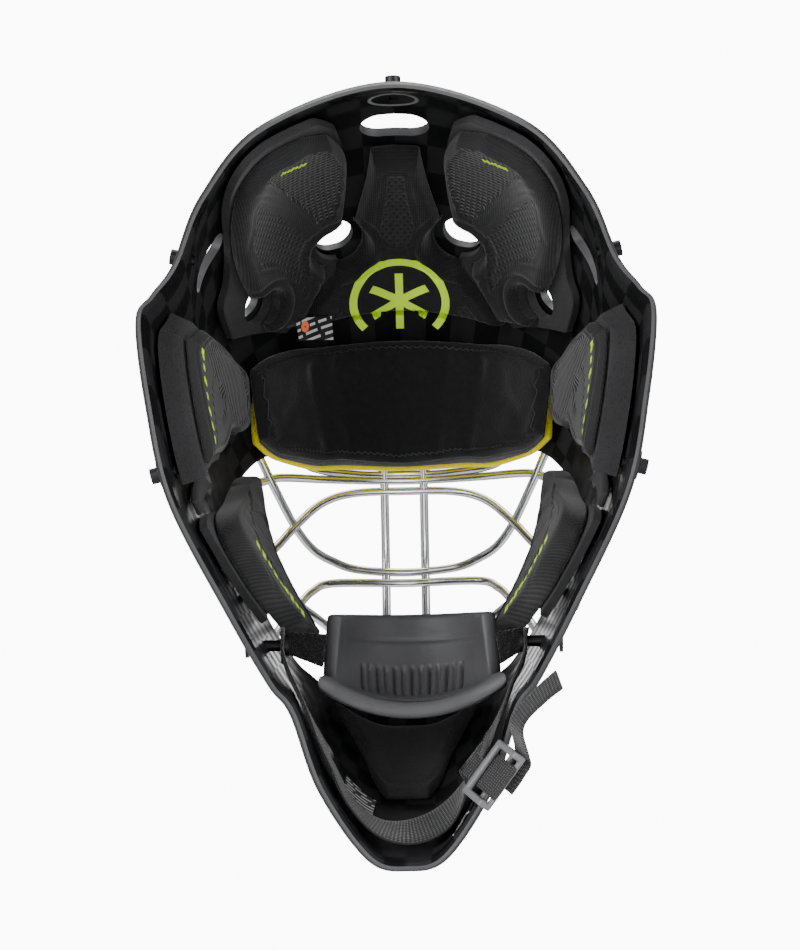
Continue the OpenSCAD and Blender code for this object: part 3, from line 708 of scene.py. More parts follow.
def swell(piece: bpy.types.Object, held: Array, pressure: float, cap: float) -> None:
    """Blow a pad up a little with a cloth simulation, and keep the result.

    Args:
        piece: a closed mesh of even cells.
        held: the vertices that stay on the foam beneath.
        pressure: the cloth's inner pressure.
        cap: furthest that a point may move, in millimetres.
    """
    start = points_of(piece)
    group = piece.vertex_groups.new(name="held")
    group.add([int(i) for i in np.nonzero(held)[0]], 1.0, "REPLACE")
    cloth = piece.modifiers.new("Swell", "CLOTH")
    cloth.settings.quality = 5
    cloth.settings.mass = 0.3
    cloth.settings.tension_stiffness = 12
    cloth.settings.compression_stiffness = 12
    cloth.settings.bending_stiffness = 0.6
    cloth.settings.use_pressure = True
    cloth.settings.uniform_pressure_force = pressure
    cloth.settings.vertex_group_mass = "held"
    cloth.settings.effector_weights.gravity = 0
    cloth.collision_settings.use_collision = False
    for at in range(1, 21):
        bpy.context.scene.frame_set(at)
    shown = piece.evaluated_get(bpy.context.evaluated_depsgraph_get())
    flat = np.empty(len(piece.data.vertices) * 3)
    shown.data.vertices.foreach_get("co", flat)
    piece.modifiers.remove(cloth)
    piece.vertex_groups.remove(group)
    bpy.context.scene.frame_set(1)
    move = flat.reshape(-1, 3) - start
    far = np.linalg.norm(move, axis=1, keepdims=True)
    move_points(piece, start + move * np.minimum(1, cap * MM / np.maximum(far, 1e-9)))


def tube(name: str, path: Array, radius: float, closed: bool = False) -> bpy.types.Object:
    """Round wire along a path.

    Args:
        name: the new piece's name.
        path: points in metres.
        radius: the wire's radius in metres.
        closed: whether the wire is a ring.

    Returns:
        The wire as a mesh.
    """
    deselect()
    bpy.ops.curve.primitive_nurbs_path_add()
    piece = bpy.context.object
    piece.name = piece.data.name = name
    curve = piece.data
    curve.splines.clear()
    line = curve.splines.new("POLY")
    line.points.add(len(path) - 1)
    line.points.foreach_set("co", np.hstack([path, np.ones((len(path), 1))]).ravel())
    line.use_cyclic_u = closed
    curve.bevel_depth = radius
    curve.bevel_resolution = 4
    curve.use_fill_caps = not closed
    bpy.ops.object.transform_apply(location=True, rotation=True, scale=True)
    bpy.ops.object.convert(target="MESH")
    piece = bpy.context.object
    apply_modifier(piece, "WELD", merge_threshold=0.00001)
    return piece


def join(name: str, pieces: Sequence[bpy.types.Object]) -> bpy.types.Object:
    """Join several meshes into one piece."""
    deselect()
    for piece in pieces:
        piece.select_set(True)
    bpy.context.view_layer.objects.active = pieces[0]
    if len(pieces) > 1:
        bpy.ops.object.join()
    whole = bpy.context.object
    whole.name = whole.data.name = name
    return whole


def cut(piece: bpy.types.Object, cutters: Sequence[bpy.types.Object]) -> None:
    """Cut the shapes of other meshes out of a piece, and throw those away."""
    tool = join(piece.name + "_cutter", list(cutters))
    apply_modifier(piece, "BOOLEAN", object=tool, operation="DIFFERENCE", solver="MANIFOLD")
    bpy.data.objects.remove(tool, do_unlink=True)


def rounded_bar(at: Place, length: float, width: float, low: float, high: float,
                chamfer: float = 0.0) -> bpy.types.Object:
    """Upright cutter with round ends, standing on a place of the skin.

    Args:
        at: station and fraction.
        length: length along the loop in millimetres.
        width: width across it in millimetres.
        low: depth of its inner end in millimetres.
        high: height of its outer end in millimetres.
        chamfer: how much wider its inner end is, in millimetres.

    Returns:
        The cutter.
    """
    x, y, z = NET.axes(*at)
    centre = NET.skin(*at)
    deselect()
    bpy.ops.mesh.primitive_cylinder_add(vertices=48, radius=1, depth=1, location=(0, 0, 0))
    piece = bpy.context.object
    p = points_of(piece)
    reach = (length - width) / 2
    top = p[:, 2] > 0
    r = width / 2 + np.where(top, 0, chamfer)
    px = p[:, 0] * r + np.sign(p[:, 0]) * reach * (np.abs(p[:, 0]) > 1e-6)
    py = p[:, 1] * r
    pz = np.where(top, high, -low)
    move_points(piece, centre + MM * (px[:, None] * x + py[:, None] * y + pz[:, None] * z))
    bpy.ops.object.mode_set(mode="EDIT")
    bpy.ops.mesh.select_all(action="SELECT")
    bpy.ops.mesh.normals_make_consistent(inside=False)
    bpy.ops.object.mode_set(mode="OBJECT")
    return piece


# ---------------------------------------------------------------------------------------------
# Padding


@dataclass
class Groove:
    """A sewn or pressed line, as places on the skin."""

    places: Sequence[Place]
    width: float = 1.2
    depth: float = 1.2


@dataclass
class Recess:
    """A round dish pressed into a pad around a vent."""

    at: Place
    radius: float
    hole: float
    ring: float = 0.0


class Drape:
    """Finds the visible face of finished pads, to lay prints and threads on."""

    def __init__(self, *names: str) -> None:
        """Index the faces of the named pads."""
        self.trees = []
        for name in names:
            mesh = bpy.data.objects[name].data
            self.trees.append(BVHTree.FromPolygons([v.co for v in mesh.vertices],
                                                   [p.vertices for p in mesh.polygons]))

    def lay(self, u: Array, t: Array, lift: Array | float, mirror: bool = False) -> Array:
        """Points above the pads' faces.

        Args:
            u: stations.
            t: fractions.
            lift: heights above the face in millimetres.
            mirror: whether they lie on the wearer's left.

        Returns:
            The points in metres.
        """
        sign = np.array([-1.0, 1.0, 1.0]) if mirror else np.ones(3)
        start, way = NET.lay(u, t, 50.0) * sign, NET.outward(u, t) * sign
        out = NET.lay(u, t, PAD_OUT) * sign
        for i, (p, d) in enumerate(zip(start, way)):
            hits = [hit for tree in self.trees
                    if (hit := tree.ray_cast(Vector(p), Vector(d), 0.05))[0] is not None]
            if hits:
                out[i] = min(hits, key=lambda hit: hit[3])[0]
        return out - way * MM * np.broadcast_to(lift, len(out))[:, None]


@dataclass
class Zone:
    """A panel moulded into a pad's face, with its own cloth."""

    corners: Sequence[Place]
    finish: Cloth
    sink: float = 0.9
    step: float = 1.3

    def outline(self) -> Array:
        """The panel's border as many places, closed."""
        corners = np.array([*self.corners, self.corners[0]], dtype=float)
        f = np.linspace(0, 1, 9)[:-1, None]
        return np.vstack([a + (b - a) * f for a, b in zip(corners, corners[1:])] + [corners[-1:]])

    def holds(self, u: Array, t: Array) -> Array:
        """Whether each place lies inside the border."""
        inside = np.zeros(len(u), dtype=bool)
        for (u0, t0), (u1, t1) in zip(self.corners, [*self.corners[1:], self.corners[0]]):
            crosses = (t0 > t) != (t1 > t)
            at = u0 + (t - t0) * (u1 - u0) / (t1 - t0 if t1 != t0 else 1e-9)
            inside ^= crosses & (u < at)
        return inside


@dataclass
class Pad:
    """A closed pad laid against the shell from rib to rib."""

    name: str
    nodes: Sequence[str]
    ribs: Sequence[Rib]
    low: float
    high: float
    finish: Cloth
    slot: str
    edge: float = 0.4
    soften: float = 6.0
    cell: float = 4.0
    levels: int = 1
    fill: float = 0.6
    blow: float = 0.0
    cap: float = 1.2
    grooves: Sequence[Groove] = field(default_factory=list)
    recesses: Sequence[Recess] = field(default_factory=list)
    mirror: bool = False
    soft: bool = True
    ripple: float = 0.0
    zones: Sequence[Zone] = field(default_factory=list)
    flat_map: bool = True

    def places(self, s: Array, r: Array) -> tuple[Array, Array]:
        """Station and fraction at a share s of the way along the ribs and r along each."""
        ribs = np.array(self.ribs, dtype=float)
        last = len(ribs) - 1
        x = np.clip(s, 0, 1) * last
        k = np.clip(np.floor(x).astype(int), 0, last - 1)
        f = (x - k)[:, None, None]
        p0, p1 = ribs[np.maximum(k - 1, 0)], ribs[k]
        p2, p3 = ribs[k + 1], ribs[np.minimum(k + 2, last)]
        rib = 0.5 * (2 * p1 + (p2 - p0) * f + (2 * p0 - 5 * p1 + 4 * p2 - p3) * f**2
                     + (3 * p1 - p0 - 3 * p2 + p3) * f**3)
        at = rib[:, 0] + (rib[:, 1] - rib[:, 0]) * r[:, None]
        return at[:, 0], at[:, 1]

    def span(self) -> Place:
        """Length along the ribs and width across them at the middle, in metres."""
        line = np.linspace(0, 1, 30)
        half = np.full(30, 0.5)
        a = NET.lay(*self.places(line, half), self.high)
        b = NET.lay(*self.places(half, line), self.high)
        ends = NET.lay(*self.places(np.full(30, 0.02), line), self.high)
        far = NET.lay(*self.places(np.full(30, 0.98), line), self.high)
        width = max(np.linalg.norm(np.diff(p, axis=0), axis=1).sum() for p in (b, ends, far))
        return float(np.linalg.norm(np.diff(a, axis=0), axis=1).sum()), float(width)

    def crown(self, s: Array, r: Array, size: Place) -> Array:
        """How full the pad is, from its edge share to 1."""
        d = np.minimum(np.minimum(s, 1 - s) * size[0], np.minimum(r, 1 - r) * size[1]) / MM
        f = np.clip(d / self.soften, 0, 1)
        return self.edge + (1 - self.edge) * np.sqrt(1 - (1 - f) ** 2)

    def body(self) -> bpy.types.Object:
        """Lay the closed slab, blow it up, and subdivide it."""
        size = self.span()
        n = max(6, round(size[0] / (self.cell * MM)))
        m = max(4, round(size[1] / (self.cell * MM)))
        piece = sheet(self.name, n, m)

        def place(s: Array, r: Array, level: Array) -> Array:
            """Point of the slab."""
            full = self.low + (self.high - self.low) * self.crown(s, r, size)
            at = NET.lay(*self.places(s, r), self.low + (full - self.low) * level)
            return mirrored(at) if self.mirror else at

        shape_sheet(piece, place, size)
        if self.flat_map:
            middle = self.places(np.array([0.5]), np.array([0.5]))
            x, y, _ = NET.axes(float(middle[0][0]), float(middle[1][0]))
            at = points_of(piece) * (np.array([-1.0, 1.0, 1.0]) if self.mirror else 1.0)
            write_uv(piece, np.stack([at @ x, at @ y], axis=1))
        if self.blow:
            swell(piece, kept(piece, "level") < 0.5, self.blow, self.cap)
        refine(piece, self.levels)
        return piece

    def press(self, piece: bpy.types.Object) -> None:
        """Press the grooves and dishes into the face."""
        level = np.clip(kept(piece, "level"), 0, 1)
        at = points_of(piece)
        sign = np.array([-1.0, 1.0, 1.0]) if self.mirror else np.ones(3)
        drop = np.zeros(len(at))
        for groove in self.grooves:
            u, t = np.array(groove.places, dtype=float).T
            path = spline(NET.lay(u, t, self.high) * sign, 6)
            d = distance_to(at, path) / MM
            drop += groove.depth * np.exp(-((d / groove.width) ** 2))
        for dish in self.recesses:
            centre, way = NET.skin(*dish.at) * sign, NET.outward(*dish.at) * sign
            off = at - centre
            d = np.linalg.norm(off - (off @ way)[:, None] * way, axis=1) / MM
            f = np.clip((dish.radius - d) / 4.0, 0, 1)
            drop += (self.high - self.low - 1.5) * f * f * (3 - 2 * f)
            if dish.ring:
                drop += 1.0 * np.exp(-(((d - dish.ring) / 1.0) ** 2))
        if self.ripple:
            wave = np.sin(at[:, 0] * 310 + at[:, 2] * 170) * np.sin(at[:, 2] * 260 - at[:, 1] * 120)
            drop += self.ripple * wave
        u, t = self.places(kept(piece, "s"), kept(piece, "r"))
        for zone in self.zones:
            edge = zone.outline()
            d = distance_to(at, NET.lay(edge[:, 0], edge[:, 1], self.high) * sign) / MM
            f = np.clip(d / zone.step, 0, 1) * zone.holds(u, t)
            drop += zone.sink * f * f * (3 - 2 * f)
            drop += 0.5 * np.exp(-(((d - 2.6) / 0.9) ** 2)) * ~zone.holds(u, t)
        way = NET.outward(u, t) * sign
        limit = np.maximum(level * (self.high - self.low) - 0.8, 0)
        move_points(piece, at + way * (np.minimum(drop, limit) * level * MM)[:, None])

    def paint(self, piece: bpy.types.Object) -> None:
        """Give the faces inside each panel that panel's cloth."""
        u, t = self.places(kept(piece, "s"), kept(piece, "r"))
        shown = kept(piece, "level") > 0.5
        mesh = piece.data
        first = np.empty(len(mesh.polygons), dtype=int)
        mesh.polygons.foreach_get("loop_start", first)
        index = np.empty(len(mesh.loops), dtype=int)
        mesh.loops.foreach_get("vertex_index", index)
        kind = np.zeros(len(mesh.polygons), dtype=int)
        for number, zone in enumerate(self.zones, 1):
            mesh.materials.append(SHOP.get(zone.finish))
            kind[(zone.holds(u, t) & shown)[index[first]]] = number
        mesh.polygons.foreach_set("material_index", kind)

    def build(self) -> bpy.types.Object:
        """Make the pad.

        Returns:
            The finished piece, riding on the shell.
        """
        piece = self.body()
        self.press(piece)
        holes = [d for d in self.recesses if d.hole]
        if holes:
            cutters = []
            for dish in holes:
                at = (-dish.at[0], dish.at[1]) if self.mirror else dish.at
                cutters.append(rounded_bar(at, dish.hole, dish.hole, 26, 4))
            cut(piece, cutters)
        smooth(piece, 60)
        dress(piece, self.finish)
        if self.zones:
            self.paint(piece)
        if self.nodes:
            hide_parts(*self.nodes)
        return piece


def both_halves(ribs: Sequence[Rib]) -> list[Rib]:
    """Ribs of both halves from those of the wearer's right half."""
    left = [((-a[0], a[1]), (-b[0], b[1])) for a, b in reversed(ribs[1:])]
    return left + list(ribs)


CROWN_RIBS: list[Rib] = [
    ((0.54, 0.16), (0.74, 0.11)), ((0.42, 0.26), (1.20, 0.10)), ((0.42, 0.35), (1.62, 0.13)),
    ((0.46, 0.43), (1.80, 0.24)), ((0.54, 0.51), (1.82, 0.36)), ((0.70, 0.59), (1.76, 0.46)),
    ((0.92, 0.64), (1.64, 0.56)), ((1.16, 0.68), (1.55, 0.655))]
CROWN_FOAM_RIBS: list[Rib] = [
    ((0.46, 0.18), (0.62, 0.08)), ((0.42, 0.26), (1.14, 0.06)), ((0.42, 0.35), (1.54, 0.08)),
    ((0.44, 0.43), (1.74, 0.18)), ((0.50, 0.52), (1.78, 0.34)), ((0.62, 0.61), (1.90, 0.44)),
    ((0.92, 0.67), (2.12, 0.49)), ((1.25, 0.70), (2.05, 0.60))]
FOREHEAD_EDGE: list[Place] = [(0.20, 0.30), (0.25, 0.39), (0.35, 0.48), (0.45, 0.55),
                              (0.66, 0.615), (0.90, 0.66), (1.14, 0.70)]
BAND_RIBS: list[Rib] = [
    ((0, 0.765), (0, 1.055)), ((0.8, 0.755), (0.85, 1.055)), ((1.3, 0.73), (1.45, 1.06)),
    ((1.75, 0.70), (2.1, 1.01)), ((2.1, 0.69), (2.6, 0.89))]
BAND_FOAM_RIBS: list[Rib] = [
    ((0, 0.785), (0, 1.055)), ((0.8, 0.78), (0.86, 1.06)), ((1.25, 0.76), (1.48, 1.065)),
    ((1.6, 0.75), (2.04, 1.02)), ((1.8, 0.77), (2.36, 0.93))]
TEMPLE_FOAM_RIBS: list[Rib] = [
    ((3.9, 0.11), (2.62, 0.60)), ((4.5, 0.12), (2.95, 0.71)), ((5.2, 0.12), (3.6, 0.74)),
    ((6.0, 0.13), (4.6, 0.66)), ((6.75, 0.15), (5.9, 0.48))]
TEMPLE_RIBS: list[Rib] = [
    ((3.7, 0.17), (2.75, 0.58)), ((4.45, 0.12), (3.05, 0.70)), ((5.2, 0.12), (3.65, 0.73)),
    ((6.0, 0.13), (4.65, 0.64)), ((6.6, 0.15), (5.85, 0.46))]
EAR_RIBS: list[Rib] = [((6.9, 0.20), (6.08, 0.47)), ((7.0, 0.22), (6.0, 0.60)),
                       ((7.05, 0.23), (5.75, 0.70))]
JAW_FOAM_RIBS: list[Rib] = [
    ((7.25, 0.14), (6.2, 0.80)), ((7.6, 0.22), (6.8, 0.86)), ((8.0, 0.36), (7.4, 0.90)),
    ((8.3, 0.50), (7.9, 0.93))]
JAW_RIBS: list[Rib] = [
    ((5.5, 0.80), (4.6, 0.90)), ((6.4, 0.60), (5.3, 0.96)), ((7.3, 0.24), (6.2, 1.0)),
    ((7.7, 0.28), (7.0, 1.03)), ((8.0, 0.40), (7.7, 1.05)), ((8.25, 0.56), (8.3, 1.05)),
    ((8.5, 0.72), (8.8, 1.04))]
CHIN_RIBS: list[Rib] = [
    ((10.7, 0.88), (15.3, 0.88)), ((11.3, 0.78), (14.7, 0.78)), ((11.8, 0.68), (14.2, 0.68)),
    ((12.1, 0.58), (13.9, 0.58)), ((12.5, 0.49), (13.5, 0.49))]
CROWN_VENT: Place = (0.54, 0.53)
SIDE_VENT: Place = (1.56, 0.58)
EAR_VENT: Place = (5.68, 0.68)


@dataclass
class Liner:
    """The moulded crown, forehead, temple and jaw pads with their backing foams."""

    crown_radius: float = 15.5
    crown_ring: float = 18.5
    side_radius: float = 11.5

    def side_pads(self, side: str, mirror: bool) -> list[Pad]:
        """The pads of one side.

        Args:
            side: left or right, for the pieces' names.
            mirror: whether they lie on the wearer's left.

        Returns:
            The pads.
        """
        return [
            Pad(f"crown_backing_{side}", [f"crown_foam_{side}"], CROWN_FOAM_RIBS, FOAM_IN, FOAM_OUT,
                BACKING, "backing", edge=0.9, soften=1.5, cell=2.4, levels=0, fill=1.0,
                recesses=[Recess(CROWN_VENT, 0, 19), Recess(SIDE_VENT, 0, 17)], mirror=mirror),
            Pad(f"crown_cushion_{side}", [f"crown_pad_{side}"], CROWN_RIBS, PAD_IN, PAD_OUT,
                LINER, "liner", edge=0.6, soften=3.0, cell=3.6, levels=2, blow=6, cap=1.0,
                grooves=[Groove([(1.50, 0.145), (1.10, 0.285), (0.78, 0.445)], 0.8, 0.8)],
                zones=[Zone([(0.57, 0.165), (0.74, 0.125), (1.04, 0.112), (1.30, 0.122),
                             (0.70, 0.43), (0.58, 0.42), (0.47, 0.34), (0.47, 0.26)],
                            LINER_DIMPLE, 1.6),
                       Zone([(1.52, 0.20), (1.68, 0.33), (1.58, 0.43), (1.34, 0.47),
                             (1.12, 0.545), (1.0, 0.60), (0.93, 0.57), (0.89, 0.50),
                             (0.84, 0.46), (1.15, 0.345)], LINER_DIAMOND, 1.1)],
                recesses=[Recess(CROWN_VENT, self.crown_radius, 25, self.crown_ring),
                          Recess(SIDE_VENT, self.side_radius, 19, 14.5)], mirror=mirror),
            Pad(f"temple_backing_{side}", [f"temple_foam_{side}"], TEMPLE_FOAM_RIBS, FOAM_IN,
                TEMPLE_IN - 0.7, TEMPLE_FOAM, "backing", edge=0.95, soften=1.5, cell=2.4, levels=0,
                fill=1.0,
                recesses=[Recess(EAR_VENT, 0, 15)], mirror=mirror),
            Pad(f"temple_cushion_{side}", [f"temple_pad_{side}"], TEMPLE_RIBS, TEMPLE_IN,
                TEMPLE_OUT, LINER, "liner", edge=0.35, soften=3, cell=3.4, levels=2, blow=5,
                cap=0.9,
                zones=[Zone([(3.95, 0.20), (5.2, 0.155), (6.4, 0.18), (5.85, 0.42), (4.75, 0.60),
                             (3.85, 0.67), (3.15, 0.62), (3.1, 0.52)], LINER_RIB, 0.7)],
                grooves=[Groove([(3.9, 0.22), (3.2, 0.40), (2.95, 0.55)], 1.0, 1.2),
                         Groove([(4.8, 0.40), (5.0, 0.44), (5.3, 0.45), (5.5, 0.41)], 1.8, 1.6),
                         Groove([(4.7, 0.33), (5.3, 0.30), (5.9, 0.28), (6.4, 0.26)], 1.0, 1.2)],
                mirror=mirror),
            Pad(f"ear_backing_{side}", [f"ear_foam_{side}"], EAR_RIBS, FOAM_IN, FOAM_OUT - 0.4,
                BACKING, "backing", edge=0.7, soften=2, cell=2.5, fill=1.0,
                recesses=[Recess(EAR_VENT, 0, 13)], mirror=mirror),
            Pad(f"jaw_backing_{side}", [f"jaw_foam_{side}"], JAW_FOAM_RIBS, FOAM_IN, FOAM_OUT,
                BACKING, "backing", edge=0.9, soften=1.5, cell=2.4, levels=0, fill=1.0,
                mirror=mirror),
            Pad(f"jaw_cushion_{side}", [f"jaw_pad_{side}"], JAW_RIBS, PAD_IN, PAD_OUT + 2,
                LINER, "liner", edge=0.4, soften=3.5, cell=3.4, levels=2, blow=5, cap=1.0,
                zones=[Zone([(6.5, 0.64), (7.25, 0.36), (7.7, 0.40), (8.1, 0.52), (8.5, 0.78),
                             (8.6, 0.95), (8.2, 0.98), (7.6, 0.97), (6.6, 0.93), (6.1, 0.88)],
                            LINER_SLASH, 0.8)],
                grooves=[Groove([(5.9, 0.74), (6.6, 0.66), (7.3, 0.62), (7.9, 0.70)], 1.2, 1.3),
                         Groove([(7.4, 0.66), (7.55, 0.70), (7.7, 0.72)], 2.0, 1.6)],
                mirror=mirror),
        ]

    def forehead(self) -> bpy.types.Object:
        """The forehead pad, a narrow neck that widens above the sweatband."""
        ribs = [((-e[0], e[1]), e) for e in FOREHEAD_EDGE]
        neck = [(0.08, 0.34), (0.10, 0.40), (0.17, 0.49), (0.13, 0.53), (0.0, 0.54)]
        wing = [(0.66, 0.655), (0.84, 0.69), (0.92, 0.735), (0.70, 0.735), (0.52, 0.70)]
        zones = [Zone([*neck, *((-u, t) for u, t in reversed(neck[:-1]))], LINER_DIAMOND, 0.9)]
        zones += [Zone([(side * u, t) for u, t in wing], LINER_DIAMOND, 0.5) for side in (-1, 1)]
        pad = Pad("forehead_cushion", ["forehead_pad"], ribs, FOAM_IN + 0.3, PAD_OUT - 0.5, LINER,
                  "liner", edge=0.7, soften=3.0, cell=3.4, levels=2, blow=6, cap=1.0,
                  zones=zones,
                  recesses=[Recess(CROWN_VENT, self.crown_radius, 25, self.crown_ring),
                            Recess((-CROWN_VENT[0], CROWN_VENT[1]), self.crown_radius, 25,
                                   self.crown_ring)])
        return pad.build()

    def build(self) -> None:
        """Make every pad of the liner."""
        for side, mirror in (("left", True), ("right", False)):
            for pad in self.side_pads(side, mirror):
                pad.build()
        self.forehead()
        Pad("chin_backing", ["chin_foam"], CHIN_RIBS, 4.8, 10.0, BACKING, "backing", edge=0.5,
            soften=5, cell=3, levels=1, fill=0.8,
            grooves=[Groove([(11.2, 0.80), (11.9, 0.66), (12.5, 0.545), (13.5, 0.545),
                             (14.1, 0.66), (14.8, 0.80)], 0.9, 0.9)]).build()


@dataclass
class Sweatband:
    """The velour sweatband with its two foam layers."""

    channels: tuple[float, ...] = (-1.16, -0.74, -0.08, 0.5, 0.98)

    def build(self) -> None:
        """Make the foams, the band, and the stitching round its edge."""
        ribs = both_halves(BAND_RIBS)
        for name, node, low, high, finish, slot in (
                ("yellow_layer", "yellow_foam", FOAM_IN, FOAM_OUT, YELLOW_FOAM, "yellow_foam"),
                ("grey_layer", "grey_foam", PAD_IN, PAD_IN + 3.7, GREY_FOAM, "grey_foam")):
            Pad(name, [node], both_halves(BAND_FOAM_RIBS), low, high, finish, slot, edge=0.9,
                soften=1.5, cell=4, fill=1.0).build()
        grooves = [Groove([(u, 0.79), (u, 1.04)], 3.0, 1.9) for u in self.channels]
        rim: list[Place] = []
        for s, r in [(x, 0.045) for x in np.linspace(0.03, 0.97, 24)] + [
                (x, 0.955) for x in np.linspace(0.97, 0.03, 24)]:
            a, b = self.rib_at(ribs, s)
            rim.append((a[0] + (b[0] - a[0]) * r, a[1] + (b[1] - a[1]) * r))
        rim.append(rim[0])
        Pad("velour_band", ["sweatband"], ribs, BAND_IN, BAND_OUT, VELOUR, "velour", edge=0.3,
            soften=5.5, cell=3.6, levels=2, blow=5, cap=1.1, fill=0.55,
            grooves=grooves + [Groove(rim, 0.9, 1.5)], ripple=0.2, flat_map=False).build()
        drape = Drape("velour_band")
        zigzag = []
        for (a, b), (c, d) in zip(rim, rim[1:]):
            for k in range(6):
                f = (k + (0.5 if k % 2 else 0)) / 6
                u, t = a + (c - a) * f, b + (d - b) * f
                middle = (0.0, 0.91)
                pull = 0.985 if k % 2 else 1.02
                zigzag.append((middle[0] + (u - middle[0]) * pull,
                               middle[1] + (t - middle[1]) * pull))
        u, t = np.array(zigzag).T
        thread = tube("band_stitching", drape.lay(u, t, 0.2), 0.28 * MM, closed=True)
        dress(thread, THREAD)

    @staticmethod
    def rib_at(ribs: Sequence[Rib], s: float) -> Rib:
        """The rib a share s of the way along."""
        x = s * (len(ribs) - 1)
        k = min(int(x), len(ribs) - 2)
        f = x - k
        return tuple(tuple(p + (q - p) * f for p, q in zip(a, b))
                     for a, b in zip(ribs[k], ribs[k + 1]))


# ---------------------------------------------------------------------------------------------
# Shell and cage


@dataclass
class Shell:
    """The carbon shell with its vents and its sanded edges."""

    around: int = 312
    across: int = 84
    lip: float = 1.3
    vents: tuple[tuple[float, float, float, float], ...] = (
        (0.54, 0.53, 18, 16), (1.56, 0.58, 15, 13), (2.1, 0.32, 30, 11),
        (5.68, 0.68, 13, 10), (10.84, 0.52, 16, 11))

    def wall(self) -> bpy.types.Object:
        """The closed wall, from one sheet bent round until its ends meet."""
        piece = sheet("carbon_shell", self.around, self.across)
        flat = points_of(piece)
        s, r, level = flat.T
        u = s * 2 * LAST
        u = np.where(u > LAST, u - 2 * LAST, u)
        inset = np.minimum(r, 1 - r) * 190.0
        round_off = self.lip * np.clip(1 - inset / 2.6, 0, 1) ** 2
        depth = np.where(level > 0.5, WALL - round_off, round_off)
        rim = NET.lay(np.linspace(0, LAST, 400), 0.25, 0)
        girth = np.concatenate([[0], np.cumsum(np.linalg.norm(np.diff(rim, axis=0), axis=1))])
        along = np.interp(np.abs(u), np.linspace(0, LAST, 400), girth) * np.sign(u)
        write_uv(piece, np.stack([along, r * 0.19], axis=1))
        keep_values(piece, level=level)
        move_points(piece, NET.lay(u, r, depth))
        pick(piece)
        bpy.ops.object.mode_set(mode="EDIT")
        bpy.ops.mesh.select_all(action="SELECT")
        bpy.ops.mesh.remove_doubles(threshold=0.00005)
        bpy.ops.mesh.select_all(action="DESELECT")
        bpy.ops.mesh.select_interior_faces()
        bpy.ops.mesh.delete(type="FACE")
        bpy.ops.mesh.select_all(action="SELECT")
        bpy.ops.mesh.normals_make_consistent(inside=False)
        bpy.ops.object.mode_set(mode="OBJECT")
        return piece

    def paint(self, piece: bpy.types.Object) -> None:
        """Give the outside, the inside and the cut edges their own finishes."""
        mesh = piece.data
        mesh.materials.clear()
        for finish in (SHELL_OUT, CARBON, SHELL_EDGE):
            mesh.materials.append(SHOP.get(finish))
        n = len(mesh.polygons)
        centre, normal = np.empty(n * 3), np.empty(n * 3)
        mesh.polygons.foreach_get("center", centre)
        mesh.polygons.foreach_get("normal", normal)
        centre, normal = centre.reshape(-1, 3), normal.reshape(-1, 3)
        u, t = np.meshgrid(np.linspace(-LAST, LAST, 260), np.linspace(0, 1, 60), indexing="ij")
        skin, way = NET.skin(u, t).reshape(-1, 3), NET.outward(u, t).reshape(-1, 3)
        tree = KDTree(len(skin))
        for i, p in enumerate(skin):
            tree.insert(p, i)
        tree.balance()
        kind = np.zeros(n, dtype=int)
        for i in range(n):
            near = tree.find(centre[i])[1]
            facing = float(normal[i] @ way[near])
            kind[i] = 0 if facing > 0.45 else 1 if facing < -0.45 else 2
        mesh.polygons.foreach_set("material_index", kind)

    def build(self) -> bpy.types.Object:
        """Make the shell."""
        piece = self.wall()
        cutters = [rounded_bar((0, 0.25), 30, 19, 12, 8)]
        for u, t, length, width in self.vents:
            cutters += [rounded_bar((side * u, t), length, width, 12, 8) for side in (-1, 1)]
        cut(piece, cutters)
        self.paint(piece)
        smooth(piece, 32)
        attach(piece, "shell")
        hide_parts("shell")
        LOG.info("%s: %d faces", piece.name, len(piece.data.polygons))
        return piece


